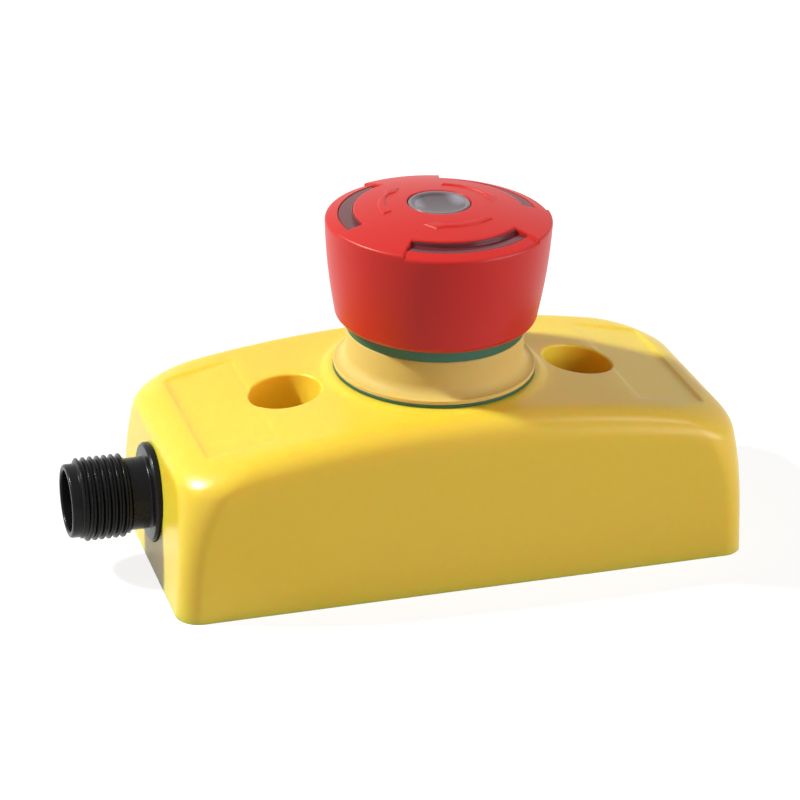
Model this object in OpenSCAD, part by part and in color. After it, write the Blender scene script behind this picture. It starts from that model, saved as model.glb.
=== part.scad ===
// Compact emergency stop push button: a drafted housing with a twist-to-release red cap on a collar,
// a latching plunger over bridge contacts, and a five-pin round connector in its left end.
// Origin: middle of the two mounting holes on the base. X runs along the housing, the connector at -X.

/* [Housing] */
// Length of the housing at its base
housing_l = 84; // [78:0.5:96]
// Width of the housing at its base
housing_w = 40; // [37:0.5:50]
// Height of the arched top at its middle
housing_h = 25.8; // [25.2:0.1:30]
// Radius of the arch that the top follows along the housing
arch_r = 168; // [140:1:260]
// Lean of the end walls, in degrees
end_draft = 2.5; // [1:0.1:4]
// Lean of the front and back walls, in degrees
side_draft = 1.2; // [0.5:0.1:3]
// Rounding of the top edge at the ends
end_round = 3.2; // [2:0.1:4]
// Rounding of the top edge along the front and back
side_round = 4; // [3:0.1:5]
// Corner radius in plan at the base
corner_base_r = 3.3; // [3:0.1:5]
// Corner radius in plan at the top
corner_top_r = 9.5; // [7:0.1:12]
// Wall thickness of the housing
wall = 2.4; // [2:0.1:2.8]
// Distance of the label recess's outer edge from the middle
label_x = 36.8; // [34:0.1:37.5]
// Length of the label recess along the housing
label_l = 10.4; // [8:0.1:12]
// Width of the label recess across the housing
label_w = 27; // [20:0.5:28]
// Depth of the label recess at its outer edge
label_depth = 0.35; // [0.2:0.05:0.6]

/* [Mounting] */
// Distance between the two mounting holes
hole_spacing = 44; // [43:0.5:47]
// Radius of the mounting holes
hole_r = 2.75; // [2.2:0.05:3.2]
// Radius of the screw head recess above each hole
head_r = 5.1; // [4.6:0.1:5.4]
// Height of the floor that the screw head clamps
head_floor = 8; // [5:0.5:12]
// Wall of the tube round each mounting screw
tube_wall = 1.8; // [1.2:0.1:2]

/* [Base] */
// Thickness of the base plate
plate_t = 1.6; // [1.2:0.1:1.8]
// Thickness of the seal between the base plate and the housing
plate_seal_t = 0.4; // [0.3:0.05:0.6]
// Width of the ledge that the base seal lies on
plate_ledge = 0.9; // [0.7:0.1:1.1]
// Height of the posts that carry the circuit board, above the base plate
post_h = 2.4; // [2.2:0.1:2.6]
// Radius of the board posts
post_r = 1.6; // [1.2:0.1:2]

/* [Collar] */
// Radius of the collar's flange
flange_r = 14.4; // [14:0.1:15]
// Height of the flange's edge
flange_edge = 0.6; // [0.4:0.1:1]
// Radius of the collar's upper part and of the indicator ring
collar_r = 12.7; // [12.4:0.1:13]
// Height of the collar's shoulder above its seal
collar_h = 5.7; // [5.2:0.1:6]
// Height of the neck above the collar's shoulder
neck_h = 4.3; // [4:0.1:4.6]
// Wall of the neck inside the indicator ring
neck_wall = 1; // [0.8:0.1:1.2]
// Height that the indicator ring stands above the neck
ring_lip = 0.5; // [0.3:0.1:0.7]
// Wall of the indicator ring
ring_wall = 1.8; // [1.5:0.1:2]
// Height of the spring pocket's floor above the collar's seal
pocket_rise = 3.4; // [3:0.1:3.8]
// Thickness of the seal under the collar
collar_seal_t = 0.5; // [0.4:0.05:0.8]
// Radius of the threaded spigot that passes through the housing
spigot_r = 8; // [7.6:0.1:8.4]
// Height of the collar nut
nut_h = 3; // [2.5:0.1:3.2]
// Width of the collar nut across its flats
nut_af = 20; // [19:0.5:22]

/* [Button] */
// Radius of the cap's rim
cap_r = 15.95; // [15.7:0.05:16.6]
// Height of the cap from its lower edge to its rim
cap_h = 14.9; // [14.2:0.1:15.4]
// Height of the indicator ring that shows below the cap
ring_show = 1.8; // [1.5:0.1:2.4]
// Radius of the sphere that the cap's dome is part of
dome_r = 57; // [48:1:80]
// Narrowing of the cap's side from its rim to its lower edge
cap_taper = 1.75; // [1.5:0.05:1.9]
// Rounding of the cap's lower edge
cap_foot_r = 1.2; // [0.8:0.1:1.3]
// Rounding of the cap's rim
cap_rim_r = 0.35; // [0.2:0.05:0.5]
// Depth of the cap's ceiling below its dome, at the slots
ceiling_drop = 2.35; // [2.1:0.05:2.5]
// Thickness of the ring inside the cap that turns on the journal
core_t = 1.5; // [1.2:0.1:1.6]
// Thickness of the light ring's base
light_base_t = 0.8; // [0.6:0.1:1]
// Gap between the cap's lower edge and the collar
cap_gap = 0.3; // [0.25:0.05:0.4]
// Thickness of the cap's wall at its rim
cap_wall = 1.65; // [1.5:0.05:1.8]
// Travel of the button from rest to latched
travel = 4; // [3:0.25:4.5]

/* [Light guide] */
// Radius of the clear window in the cap's middle
window_r = 4.4; // [4.2:0.1:4.8]
// Thickness of the window
window_t = 1.75; // [1.4:0.05:1.8]
// Depth of the window's face below the dome
window_sink = 0.15; // [0.1:0.05:0.3]
// Number of lit slots round the rim
slot_count = 3; // [2:1:4]
// Angle of the first slot's middle, in degrees
slot_angle = -87; // [-120:1:0]
// Half the angle that each slot spans, in degrees
slot_half = 39; // [25:1:42]
// Inner radius of the slots
slot_in_r = 12; // [11.8:0.1:12.4]
// Width of the slots
slot_w = 2.1; // [1.8:0.1:2.2]
// Depth of the lip outside each slot below the dome
lip_drop = 0.4; // [0.2:0.05:0.6]
// Depth of the light ring's ribs below the dome
rib_sink = 0.85; // [0.5:0.05:1.1]
// Gap between the light ring's ribs and the slots
rib_gap = 0.06; // [0.04:0.01:0.1]
// Radius of the light pipe
pipe_r = 3; // [2.6:0.1:3.1]

/* [Plunger] */
// Radius of the plunger's stem
stem_r = 5.5; // [5.3:0.1:5.7]
// Running gap between the stem and its guide
run_gap = 0.08; // [0.05:0.01:0.1]
// Wall of the guide tube round the stem
guide_wall = 1.6; // [1.4:0.1:1.8]
// Radius of the plunger's head flange
head_flange_r = 10.3; // [9.8:0.1:10.8]
// Thickness of the plunger's head flange
head_flange_t = 1.1; // [1:0.1:1.4]
// Radius of the journal that the cap turns on
journal_r = 6.25; // [6:0.05:6.6]
// Radius of the neck that the retaining ring grips
neck_r = 3.85; // [3.75:0.05:4]
// Wire radius of the return spring
return_wire = 0.45; // [0.35:0.05:0.5]
// Turns of the return spring
return_turns = 6; // [5:1:7]
// Height of the bridge carrier below the stem
carrier_h = 2.4; // [2.2:0.1:2.6]
// Width of the carrier's arms
arm_w = 3.6; // [3:0.1:4.2]
// Thickness of the carrier's arms
arm_t = 1.6; // [1.2:0.1:2]
// Height of the stem seal
stem_seal_h = 2; // [1.5:0.1:2.5]

/* [Latch] */
// Radius of the latch pins
pin_r = 1.2; // [1:0.1:1.3]
// Length of the latch pins
pin_l = 4; // [3.4:0.1:4.2]
// Rise of the latch cone: its radius lost for each unit of height
cone_slope = 0.25; // [0.2:0.01:0.3]
// Gap between a latch pin's tip and the cone
pin_gap = 0.1; // [0.06:0.01:0.15]
// Height of the latch block
latch_h = 4.2; // [4:0.1:4.6]
// Wire radius of the latch springs
latch_wire = 0.16; // [0.12:0.01:0.2]

/* [Contacts] */
// Length of the contact block along the housing
block_l = 27; // [26:0.5:28]
// Width of the contact block across the housing
block_w = 27; // [26:0.5:30]
// Wall of the contact block
block_wall = 1.6; // [1.2:0.1:2]
// Floor thickness of the contact block
block_floor = 1.4; // [1.2:0.1:1.6]
// Distance of each contact bridge from the middle
bridge_y = 8; // [7.6:0.1:8.4]
// Length of a contact bridge
bridge_l = 14; // [13:0.5:16]
// Width of a contact bridge
bridge_w = 3; // [2.6:0.1:3.4]
// Thickness of the contact strips
strip_t = 0.6; // [0.5:0.05:0.8]
// Distance of the contact tips from the bridge's middle
tip_x = 5.4; // [5:0.1:5.8]
// Height of a contact tip
tip_h = 0.4; // [0.3:0.05:0.5]
// Gap left between closed contacts
contact_gap = 0.1; // [0.05:0.05:0.2]
// Wire radius of the contact springs
contact_wire = 0.2; // [0.15:0.01:0.22]
// Turns of a contact spring
contact_turns = 4; // [3:1:4]

/* [Circuit board] */
// Length of the circuit board
board_l = 68; // [66:0.5:70]
// Width of the circuit board
board_w = 29; // [28:0.5:31]
// Thickness of the circuit board
board_t = 1.2; // [0.8:0.1:1.4]
// Radius of the board screws' shanks
screw_r = 0.6; // [0.5:0.05:0.7]
// Radius of the board screws' heads
screw_head_r = 1.3; // [1.1:0.1:1.5]
// Length of a chip on the board
chip_l = 5; // [4:0.5:6]
// Width of a chip on the board
chip_w = 3.6; // [3:0.1:4]
// Height of a chip on the board
chip_h = 1.5; // [1:0.1:2]
// Length of a small part on the board
small_l = 3.2; // [2:0.1:3.4]
// Width of a small part on the board
small_w = 1.8; // [1.2:0.1:2.2]
// Height of a small part on the board
small_h = 1.1; // [0.6:0.1:1.4]
// Distance between the small parts on the board
small_pitch = 4; // [3:0.1:4.4]
// Gap between the circuit board and the screw tubes
board_gap = 0.4; // [0.3:0.1:0.8]
// Radius of the light source's dome
led_r = 1.5; // [1.2:0.1:1.6]
// Height of the light source
led_h = 2.9; // [2.4:0.1:3]

/* [Connector] */
// Height of the connector's axis
conn_z = 10.9; // [10.4:0.1:11.4]
// Distance from the flange's seat on the end wall to the connector's mouth
conn_l = 12.35; // [12:0.05:14.5]
// Depth of the flange's seat below the end wall at the connector's axis
conn_sink = 0.25; // [0.2:0.05:0.4]
// Thickness of the end wall that the connector clamps
conn_wall_t = 1.85; // [1.5:0.05:2]
// Radius of the connector's flange
conn_flange_r = 7.05; // [6.9:0.05:7.4]
// Thickness of the connector's flange
conn_flange_t = 1; // [0.8:0.1:1.4]
// Radius of the plain neck behind the thread
conn_neck_r = 5.1; // [5:0.05:5.3]
// Length of the plain neck behind the thread
conn_neck_l = 2.7; // [2.4:0.1:3.2]
// Outer radius of the connector's thread
thread_r = 5.9; // [5.8:0.05:6]
// Radius of the plain lead at the connector's mouth
conn_lead_r = 5.2; // [5.1:0.05:5.4]
// Length of the plain lead at the connector's mouth
conn_lead_l = 1.5; // [1.2:0.1:2]
// Inner radius of the connector's tube
conn_bore_r = 4.35; // [4.2:0.05:4.5]
// Depth of the socket from the mouth to the insert's face
socket_depth = 8.6; // [8:0.1:9.4]
// Depth of the pin tips below the mouth
pin_recess = 2; // [1.5:0.1:3]
// Radius of the contact pins
cpin_r = 0.5; // [0.45:0.05:0.6]
// Radius of the circle that the four outer pins stand on
cpin_circle_r = 2.45; // [2.3:0.05:2.6]
// Length of the threaded part inside the housing
conn_inner_l = 6.8; // [6.4:0.1:7.2]
// Height of the connector's lock nut
conn_nut_h = 2.8; // [2.4:0.1:3.2]
// Width of the connector's lock nut across its flats
conn_nut_af = 14; // [13.5:0.5:15]
// Thickness of the seal behind the connector's flange
conn_seal_t = 0.5; // [0.4:0.1:0.8]
// Width of the seal behind the connector's flange
conn_seal_w = 0.6; // [0.5:0.05:0.8]
// Radius of the inner leads
lead_r = 0.55; // [0.45:0.05:0.6]

/* [Hidden] */

// Smoothness of round parts, and the overrun of a cut past the face that it opens
ROUND = 96;
FINE = 32;
CUT = 1;

// Colours of the materials
YELLOW = [0.95, 0.80, 0.16];
CREAM = [0.96, 0.86, 0.55];
RED = [0.85, 0.16, 0.13];
GREEN = [0.10, 0.42, 0.28];
BLACK = [0.10, 0.10, 0.11];
SMOKE = [0.38, 0.30, 0.30];
CLEAR = [0.62, 0.60, 0.62];
STEEL = [0.70, 0.71, 0.73];
BRASS = [0.80, 0.65, 0.30];
COPPER = [0.78, 0.50, 0.32];
BOARD = [0.10, 0.40, 0.20];
WHITE = [0.88, 0.88, 0.86];

// Heights that follow from the sizes above, from the base upwards
ledge_z = plate_t + plate_seal_t;
board_z = plate_t + post_h;
board_top = board_z + board_t;
seat_z = housing_h + collar_seal_t;
inner_top = housing_h - wall;
nut_z = inner_top - nut_h;
spigot_z = nut_z - 0.4;
latch_z = spigot_z - latch_h;
pin_z = spigot_z - latch_h / 2 + 0.2;
shoulder_z = seat_z + collar_h;
neck_top = shoulder_z + neck_h;
ring_top = neck_top + ring_lip;
cap_z = shoulder_z + ring_show;
rim_z = cap_z + cap_h;

// Widths and radii that follow
tube_r = head_r + tube_wall;
guide_in_r = stem_r + run_gap;
guide_r = guide_in_r + guide_wall;
neck_out_r = collar_r - ring_wall;
pocket_r = neck_out_r - neck_wall;
pocket_floor = seat_z + pocket_rise;
cap_in_r = collar_r + cap_gap;
cap_top_in_r = cap_r - cap_wall;
slot_out_r = slot_in_r + slot_w;
flare_r = flange_r - collar_r;
spring_r = (guide_r + pocket_r) / 2;

// The base plate's half sizes and corners, and the places of its posts
plate_a = housing_l / 2 - wall + plate_ledge - ledge_z * tan(end_draft);
plate_b = housing_w / 2 - wall + plate_ledge - ledge_z * tan(side_draft);
plate_corner = corner_base_r - wall + plate_ledge + 0.4;
post_x = board_l / 2 - 3.2;
post_y = board_w / 2 - 3.2;

// The dome passes through the rim; its apex follows from its sphere
function dome_z(r) = rim_z + sqrt(dome_r * dome_r - r * r) - sqrt(dome_r * dome_r - cap_r * cap_r);
ceiling_z = dome_z(slot_in_r) - ceiling_drop;
window_top = dome_z(0) - window_sink;
window_floor = window_top - window_t - 0.95;
ring_grip_z = window_floor + 0.05;
ring_grip_t = 0.5;
ring_grip = 0.35;
lens_r = window_r + 0.1;
ring_out_r = window_r - 0.2;
core_z = ceiling_z - core_t;
head_z = core_z - 0.3;
plunger_z = latch_z + 0.4;
cone_z = pin_z - 1;
cone_top_z = pin_z + travel + 1.2;
function cone_r(z) = stem_r - (z - cone_z) * cone_slope;
pin_tip_x = cone_r(pin_z) + pin_gap;
pin_back_x = pin_tip_x + pin_l;

// The cap's outer side: a slight curve that narrows from the rim to the foot
function side_r(z) =
    let (h = rim_z - z, f = h / cap_h)
    cap_r - cap_taper * (0.24 * f + 0.76 * f * f);
foot_x = side_r(cap_z + cap_foot_r) - cap_foot_r;
rim_rise = dome_z(cap_r - cap_rim_r) - rim_z + cap_rim_r;

// Contacts, from the board upwards
block_z = board_top;
block_floor_z = block_z + block_floor;
carrier_z = plunger_z - carrier_h;
bridge_z = carrier_z - strip_t;
strip_z = carrier_z + tip_h + contact_gap;

// The connector's stations along X, from the seat on the end wall outwards
conn_seat_x = -(housing_l / 2 - conn_z * tan(end_draft)) + conn_sink;
conn_mouth_x = conn_seat_x - conn_l;
conn_back_x = conn_seat_x + conn_inner_l;
conn_wall_x = conn_seat_x + conn_wall_t;
insert_face_x = conn_mouth_x + socket_depth;
conn_seal_r = thread_r + conn_seal_w;
pin_tail_x = conn_back_x + 1;

// A point of the plan outline's half at +Y: two corners and the straight side between them
CORNER_STEPS = 8;
SIDE_STEPS = 13;
HALF = 2 * (CORNER_STEPS + 1) + SIDE_STEPS;
function half_outline(a, b, r) = [
    for (i = [0:CORNER_STEPS]) let (t = 90 * i / CORNER_STEPS) [a - r + r * cos(t), b - r + r * sin(t)],
    for (i = [1:SIDE_STEPS]) let (u = i / (SIDE_STEPS + 1)) [(a - r) * (1 - 2 * u), b],
    for (i = [0:CORNER_STEPS]) let (t = 90 + 90 * i / CORNER_STEPS) [-a + r + r * cos(t), b - r + r * sin(t)]
];

// How far a rounding of radius r has drawn in at height z below a top at h
function draw_in(z, h, r) = r - sqrt(max(r * r - pow(max(0, z - (h - r)), 2), 0));

// How far the arch lies below its crown at x, and a flat height z brought down onto it
function arch_drop(x) = arch_r - sqrt(arch_r * arch_r - x * x);
function on_arch(x, z, h) = z - arch_drop(x) * z / h;

// One ring of the housing's form at height z: inset moves every wall in by that much
function form_ring(z, inset) =
    let (
        h = housing_h - inset,
        a = housing_l / 2 - inset - z * tan(end_draft) - draw_in(z, h, end_round),
        b = housing_w / 2 - inset - z * tan(side_draft) - draw_in(z, h, side_round),
        r = max(0.9, corner_base_r - inset + (corner_top_r - corner_base_r) * pow(z / h, 4)),
        half = half_outline(a, b, r)
    )
    [
        for (p = half) [p[0], p[1], on_arch(p[0], z, h)],
        for (i = [HALF - 1:-1:0]) [half[i][0], -half[i][1], on_arch(half[i][0], z, h)]
    ];

// Heights of the rings: a few up the wall, then closer round the top edge
function form_levels(z0, inset) =
    let (h = housing_h - inset, r = max(end_round, side_round))
    concat([for (u = [0:4]) z0 + (h - r - z0) * u / 4],
        [for (t = [18:18:90]) h - r + r * sin(t)]);

// The housing's form as one closed solid, from height z0 to its arched top
module form(inset, z0) {
    levels = form_levels(z0, inset);
    n = 2 * HALF;
    last = len(levels) - 1;
    points = [for (z = levels) each form_ring(z, inset)];
    sides = [
        for (j = [0:last - 1], i = [0:n - 1])
            let (a = j * n + i, b = j * n + (i + 1) % n, c = b + n, d = a + n)
            each [[a, d, c], [a, c, b]]
    ];
    lids = [
        for (i = [0:HALF - 2])
            let (p = i, q = n - 1 - i, t = last * n)
            each [
                [t + p, t + q, t + q - 1], [t + p, t + q - 1, t + p + 1],
                [p, q - 1, q], [p, p + 1, q - 1]
            ]
    ];
    polyhedron(points = points, faces = concat(sides, lids), convexity = 4);
}

// A rectangle with rounded corners, centred, sized by its half length and half width
module plan(a, b, r) {
    hull() {
        for (sx = [-1, 1], sy = [-1, 1]) {
            translate([sx * (a - r), sy * (b - r)]) circle(r = r, $fn = FINE);
        }
    }
}

module at_holes() {
    for (s = [-1, 1]) {
        translate([s * hole_spacing / 2, 0, 0]) children();
    }
}

module tube(r_out, r_in, z0, z1) {
    difference() {
        translate([0, 0, z0]) cylinder(r = r_out, h = z1 - z0, $fn = ROUND);
        translate([0, 0, z0 - CUT]) cylinder(r = r_in, h = z1 - z0 + 2 * CUT, $fn = ROUND);
    }
}

// A cylinder along X from x0 to x1 on the connector's axis
module along_x(r, x0, x1, fn = ROUND) {
    translate([x0, 0, conn_z]) rotate([0, 90, 0]) cylinder(r = r, h = x1 - x0, $fn = fn);
}

// A round wire swept along the points of a path, closed by flat ends
module wire(path, r, sides, up = [0, 0, 1]) {
    n = len(path);
    dirs = [
        for (i = [0:n - 1])
            let (a = path[max(i - 1, 0)], b = path[min(i + 1, n - 1)], d = b - a)
            d / norm(d)
    ];
    points = [
        for (i = [0:n - 1])
            let (
                d = dirs[i],
                u = cross(d, up) / norm(cross(d, up)),
                v = cross(d, u)
            )
            for (k = [0:sides - 1])
                let (t = 360 * k / sides)
                path[i] + r * (u * cos(t) + v * sin(t))
    ];
    faces = [
        for (i = [0:n - 2], k = [0:sides - 1])
            let (a = i * sides + k, b = i * sides + (k + 1) % sides, c = b + sides, d = a + sides)
            each [[a, b, c], [a, c, d]]
    ];
    ends = [
        [for (k = [sides - 1:-1:0]) k],
        [for (k = [0:sides - 1]) (n - 1) * sides + k]
    ];
    polyhedron(points = points, faces = concat(faces, ends), convexity = 8);
}

// A coil spring from z = 0 to z = h, its end turns drawn closer together
module coil(r, wire_r, h, turns, steps, sides) {
    count = turns * steps;
    path = [
        for (i = [0:count])
            let (u = i / count, t = 360 * turns * u, s = u - 0.6 * sin(360 * u) / 360 * 180 / PI)
            [r * cos(t), r * sin(t), wire_r + (h - 2 * wire_r) * s]
    ];
    wire(path, wire_r, sides);
}

// The label recess: a flat cut that runs out towards the middle
module label_cut() {
    inner_x = label_x - label_l;
    z_out = housing_h - arch_drop(label_x) - label_depth;
    z_in = housing_h - arch_drop(inner_x);
    tilt = atan2(z_out - z_in, label_l);
    translate([label_x, 0, z_out]) rotate([0, -tilt, 0])
        translate([-label_l / 2, 0, 0])
            linear_extrude(height = 2 * CUT) plan(label_l / 2 + 0.2, label_w / 2, 1);
}

module housing() {
    color(YELLOW) difference() {
        union() {
            form(0, 0);
            translate([0, 0, inner_top - CUT])
                cylinder(r = flange_r + 0.5, h = wall + CUT, $fn = ROUND);
        }
        difference() {
            form(wall, ledge_z - CUT);
            at_holes() cylinder(r = tube_r, h = housing_h, $fn = ROUND);
        }
        difference() {
            translate([0, 0, -CUT]) linear_extrude(height = ledge_z + CUT)
                plan(plate_a + 0.1, plate_b + 0.1, plate_corner);
            translate([0, 0, -CUT]) at_holes() cylinder(r = tube_r, h = housing_h, $fn = ROUND);
        }
        at_holes() {
            translate([0, 0, -CUT]) cylinder(r = hole_r, h = housing_h, $fn = ROUND);
            translate([0, 0, head_floor]) cylinder(r = head_r, h = housing_h, $fn = ROUND);
        }
        translate([0, 0, inner_top - 2 * CUT])
            cylinder(r = spigot_r + 0.1, h = wall + 4 * CUT, $fn = ROUND);
        translate([0, 0, inner_top - 2 * CUT])
            cylinder(r = nut_af / sqrt(3) + 0.6, h = 2 * CUT, $fn = ROUND);
        along_x(thread_r + 0.1, conn_seat_x - 2 * CUT, conn_seat_x + wall + 2 * CUT);
        along_x(conn_flange_r + 0.15, conn_seat_x - 2 * CUT, conn_seat_x);
        along_x(conn_seal_r + 0.05, conn_seat_x - CUT, conn_seat_x + conn_seal_t);
        along_x(conn_nut_af / 2 + 1.4, conn_wall_x, conn_wall_x + conn_nut_h + 0.3);
        label_cut();
        mirror([1, 0, 0]) label_cut();
    }
}

module at_posts() {
    for (sx = [-1, 1], sy = [-1, 1]) {
        translate([sx * post_x, sy * post_y, 0]) children();
    }
}

module base_plate() {
    color(BLACK) difference() {
        union() {
            linear_extrude(height = plate_t) plan(plate_a, plate_b, plate_corner);
            at_posts() cylinder(r = post_r, h = board_z, $fn = FINE);
        }
        translate([0, 0, -CUT]) at_holes() cylinder(r = tube_r + 0.1, h = board_z, $fn = ROUND);
        at_posts() translate([0, 0, plate_t]) cylinder(r = screw_r, h = post_h + CUT, $fn = FINE);
    }
}

module base_seal() {
    color(BLACK) translate([0, 0, plate_t]) linear_extrude(height = plate_seal_t) difference() {
        plan(plate_a - 0.1, plate_b - 0.1, plate_corner);
        plan(plate_a - plate_ledge, plate_b - plate_ledge, plate_corner - 0.4);
    }
}

// The collar's outline: spigot, flange with its hollow flare, shoulder and neck round the spring pocket
function collar_profile() = concat(
    [
        [guide_in_r, spigot_z],
        [spigot_r, spigot_z],
        [spigot_r, seat_z],
        [flange_r, seat_z],
        [flange_r, seat_z + flange_edge]
    ],
    [
        for (t = [15:15:75])
            [flange_r - flare_r * sin(t), seat_z + flange_edge + flare_r * (1 - cos(t))]
    ],
    [
        [collar_r, seat_z + flange_edge + flare_r],
        [collar_r, shoulder_z - 0.25],
        [collar_r - 0.25, shoulder_z],
        [neck_out_r, shoulder_z],
        [neck_out_r, neck_top],
        [pocket_r, neck_top],
        [pocket_r, pocket_floor],
        [guide_r, pocket_floor],
        [guide_r, neck_top - 1],
        [guide_r - 0.4, neck_top - 1],
        [guide_r - 0.4, neck_top - 1 - stem_seal_h],
        [guide_in_r, neck_top - 1 - stem_seal_h]
    ]
);

module collar() {
    color(CREAM) rotate_extrude($fn = ROUND) polygon(collar_profile());
}

module collar_seal() {
    color(GREEN) tube(flange_r + 0.05, spigot_r + 0.1, housing_h, seat_z);
}

module collar_nut() {
    color(STEEL) difference() {
        translate([0, 0, nut_z]) cylinder(r = nut_af / sqrt(3), h = nut_h, $fn = 6);
        translate([0, 0, nut_z - CUT]) cylinder(r = spigot_r, h = nut_h + 2 * CUT, $fn = ROUND);
    }
}

module armed_ring() {
    color(GREEN) tube(collar_r, neck_out_r, shoulder_z, ring_top);
}

module stem_seal() {
    color(BLACK) tube(guide_r - 0.4, stem_r + 0.02, neck_top - 1 - stem_seal_h, neck_top - 1);
}

function cap_profile() = concat(
    [[cap_in_r, cap_z + 0.2], [cap_in_r + 0.2, cap_z]],
    [for (t = [-90:15:-5]) [foot_x + cap_foot_r * cos(t), cap_z + cap_foot_r + cap_foot_r * sin(t)]],
    [
        for (i = [1:7])
            let (z = cap_z + cap_foot_r + (cap_h - cap_foot_r - cap_rim_r) * i / 7)
            [side_r(z), z]
    ],
    [
        for (t = [22.5:22.5:67.5])
            [cap_r - cap_rim_r + cap_rim_r * cos(t), rim_z - cap_rim_r + rim_rise * sin(t)]
    ],
    [
        for (i = [9:-1:1])
            let (r = (cap_r - cap_rim_r) * i / 9)
            each r > window_r + 0.3 ? [[r, dome_z(r)]] : []
    ],
    [
        [lens_r, dome_z(window_r)],
        [lens_r, window_top - window_t],
        [ring_out_r + 0.1, window_top - window_t],
        [ring_out_r + 0.1, window_floor],
        [neck_r + 0.05, window_floor],
        [neck_r + 0.05, ceiling_z],
        [cap_top_in_r, ceiling_z],
        [cap_top_in_r, head_z - head_flange_t - 0.6],
        [cap_in_r, cap_z + 3.4]
    ]
);

// A block of the ring between two radii over one slot's angle
module slot_sector(r_in, r_out, z0, z1, half) {
    for (k = [0:slot_count - 1]) {
        rotate([0, 0, slot_angle + 360 * k / slot_count - half])
            rotate_extrude(angle = 2 * half, $fn = ROUND)
                polygon([[r_in, z0], [r_out, z0], [r_out, z1], [r_in, z1]]);
    }
}

// Half the angle between two of the light ring's ribs
rib_break = 180 / slot_count - slot_half + 0.4;

// The space above the lowered lip outside each slot
module lip_cut() {
    for (k = [0:slot_count - 1]) {
        rotate([0, 0, slot_angle + 360 * k / slot_count - slot_half])
            rotate_extrude(angle = 2 * slot_half, $fn = ROUND)
                polygon([
                    [slot_out_r - 0.5, dome_z(slot_out_r) - lip_drop * 0.7],
                    [slot_out_r, dome_z(slot_out_r) - lip_drop * 0.7],
                    [cap_r + CUT, dome_z(cap_r + CUT) - lip_drop],
                    [cap_r + CUT, dome_z(0)],
                    [slot_out_r - 0.5, dome_z(0)]
                ]);
    }
}

module cap() {
    color(RED) difference() {
        rotate_extrude($fn = ROUND) polygon(cap_profile());
        slot_sector(slot_in_r, slot_out_r, ceiling_z - CUT, dome_z(0), slot_half);
        lip_cut();
    }
}

module cap_core() {
    color(BLACK) rotate_extrude($fn = ROUND) polygon([
        [journal_r + run_gap, core_z],
        [cap_top_in_r - 0.05, core_z],
        [cap_top_in_r - 0.05, ceiling_z - light_base_t],
        [slot_in_r - 0.4, ceiling_z - light_base_t],
        [slot_in_r - 0.4, ceiling_z],
        [journal_r + run_gap, ceiling_z]
    ]);
}

module light_ring() {
    rib_top = dome_z(slot_in_r) - rib_sink;
    color(SMOKE) difference() {
        rotate_extrude($fn = ROUND) polygon([
            [slot_in_r - 0.3, ceiling_z - light_base_t],
            [slot_out_r - rib_gap, ceiling_z - light_base_t],
            [slot_out_r - rib_gap, rib_top],
            [slot_in_r + rib_gap, rib_top],
            [slot_in_r + rib_gap, ceiling_z],
            [slot_in_r - 0.3, ceiling_z]
        ]);
        rotate([0, 0, 180 / slot_count])
            slot_sector(slot_in_r - 0.15, slot_out_r + CUT, ceiling_z, rib_top + CUT, rib_break);
    }
}

module window_lens() {
    color(CLEAR) rotate_extrude($fn = ROUND) polygon([
        [0, window_top - window_t],
        [lens_r, window_top - window_t],
        [lens_r, window_top - 0.6],
        [window_r, window_top - 0.6],
        [window_r, window_top - 0.25],
        [window_r - 0.2, window_top - 0.05],
        [0, window_top]
    ]);
}

module retaining_ring() {
    color(STEEL) tube(ring_out_r, neck_r - ring_grip, ring_grip_z, ring_grip_z + ring_grip_t);
}

module plunger() {
    color(BLACK) difference() {
        rotate_extrude($fn = ROUND) polygon([
            [pipe_r, plunger_z],
            [stem_r, plunger_z],
            [stem_r, cone_z],
            [cone_r(cone_top_z), cone_top_z],
            [stem_r, cone_top_z + 0.8],
            [stem_r, head_z - head_flange_t],
            [head_flange_r, head_z - head_flange_t],
            [head_flange_r, head_z],
            [journal_r, head_z],
            [journal_r, ceiling_z - 0.1],
            [neck_r, ceiling_z - 0.1],
            [neck_r, ring_grip_z],
            [neck_r - ring_grip, ring_grip_z],
            [neck_r - ring_grip, ring_grip_z + ring_grip_t],
            [neck_r, ring_grip_z + ring_grip_t],
            [neck_r - 0.15, ring_grip_z + ring_grip_t + 0.15],
            [pipe_r, ring_grip_z + ring_grip_t + 0.15]
        ]);
    }
}

module light_pipe() {
    color(CLEAR) translate([0, 0, carrier_z + 0.2])
        cylinder(r = pipe_r, h = ring_grip_z + ring_grip_t - carrier_z - 0.2, $fn = ROUND);
}

module return_spring() {
    color(STEEL) translate([0, 0, pocket_floor])
        coil(spring_r, return_wire, head_z - head_flange_t - pocket_floor, return_turns, 18, 8);
}

// The carrier under the plunger: a ring with an arm to each bridge
module bridge_carrier() {
    arm = bridge_y + bridge_w / 2;
    color(WHITE) difference() {
        union() {
            translate([0, 0, carrier_z]) cylinder(r = stem_r - 0.3, h = plunger_z - carrier_z, $fn = ROUND);
            translate([-arm_w / 2, -arm, carrier_z]) cube([arm_w, 2 * arm, arm_t]);
        }
        translate([0, 0, carrier_z - CUT]) cylinder(r = pipe_r, h = carrier_h + 2 * CUT, $fn = ROUND);
    }
}

// One contact bridge: a strip with a tip near each end
module contact_bridge(side) {
    color(COPPER) translate([0, side * bridge_y, bridge_z]) {
        translate([-bridge_l / 2, -bridge_w / 2, 0]) cube([bridge_l, bridge_w, strip_t]);
        for (s = [-1, 1]) {
            translate([s * tip_x, 0, strip_t / 2]) cylinder(r = 0.9, h = strip_t / 2 + tip_h, $fn = FINE);
        }
    }
}

module contact_bridge_front() {
    contact_bridge(-1);
}

module contact_bridge_back() {
    contact_bridge(1);
}

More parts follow.
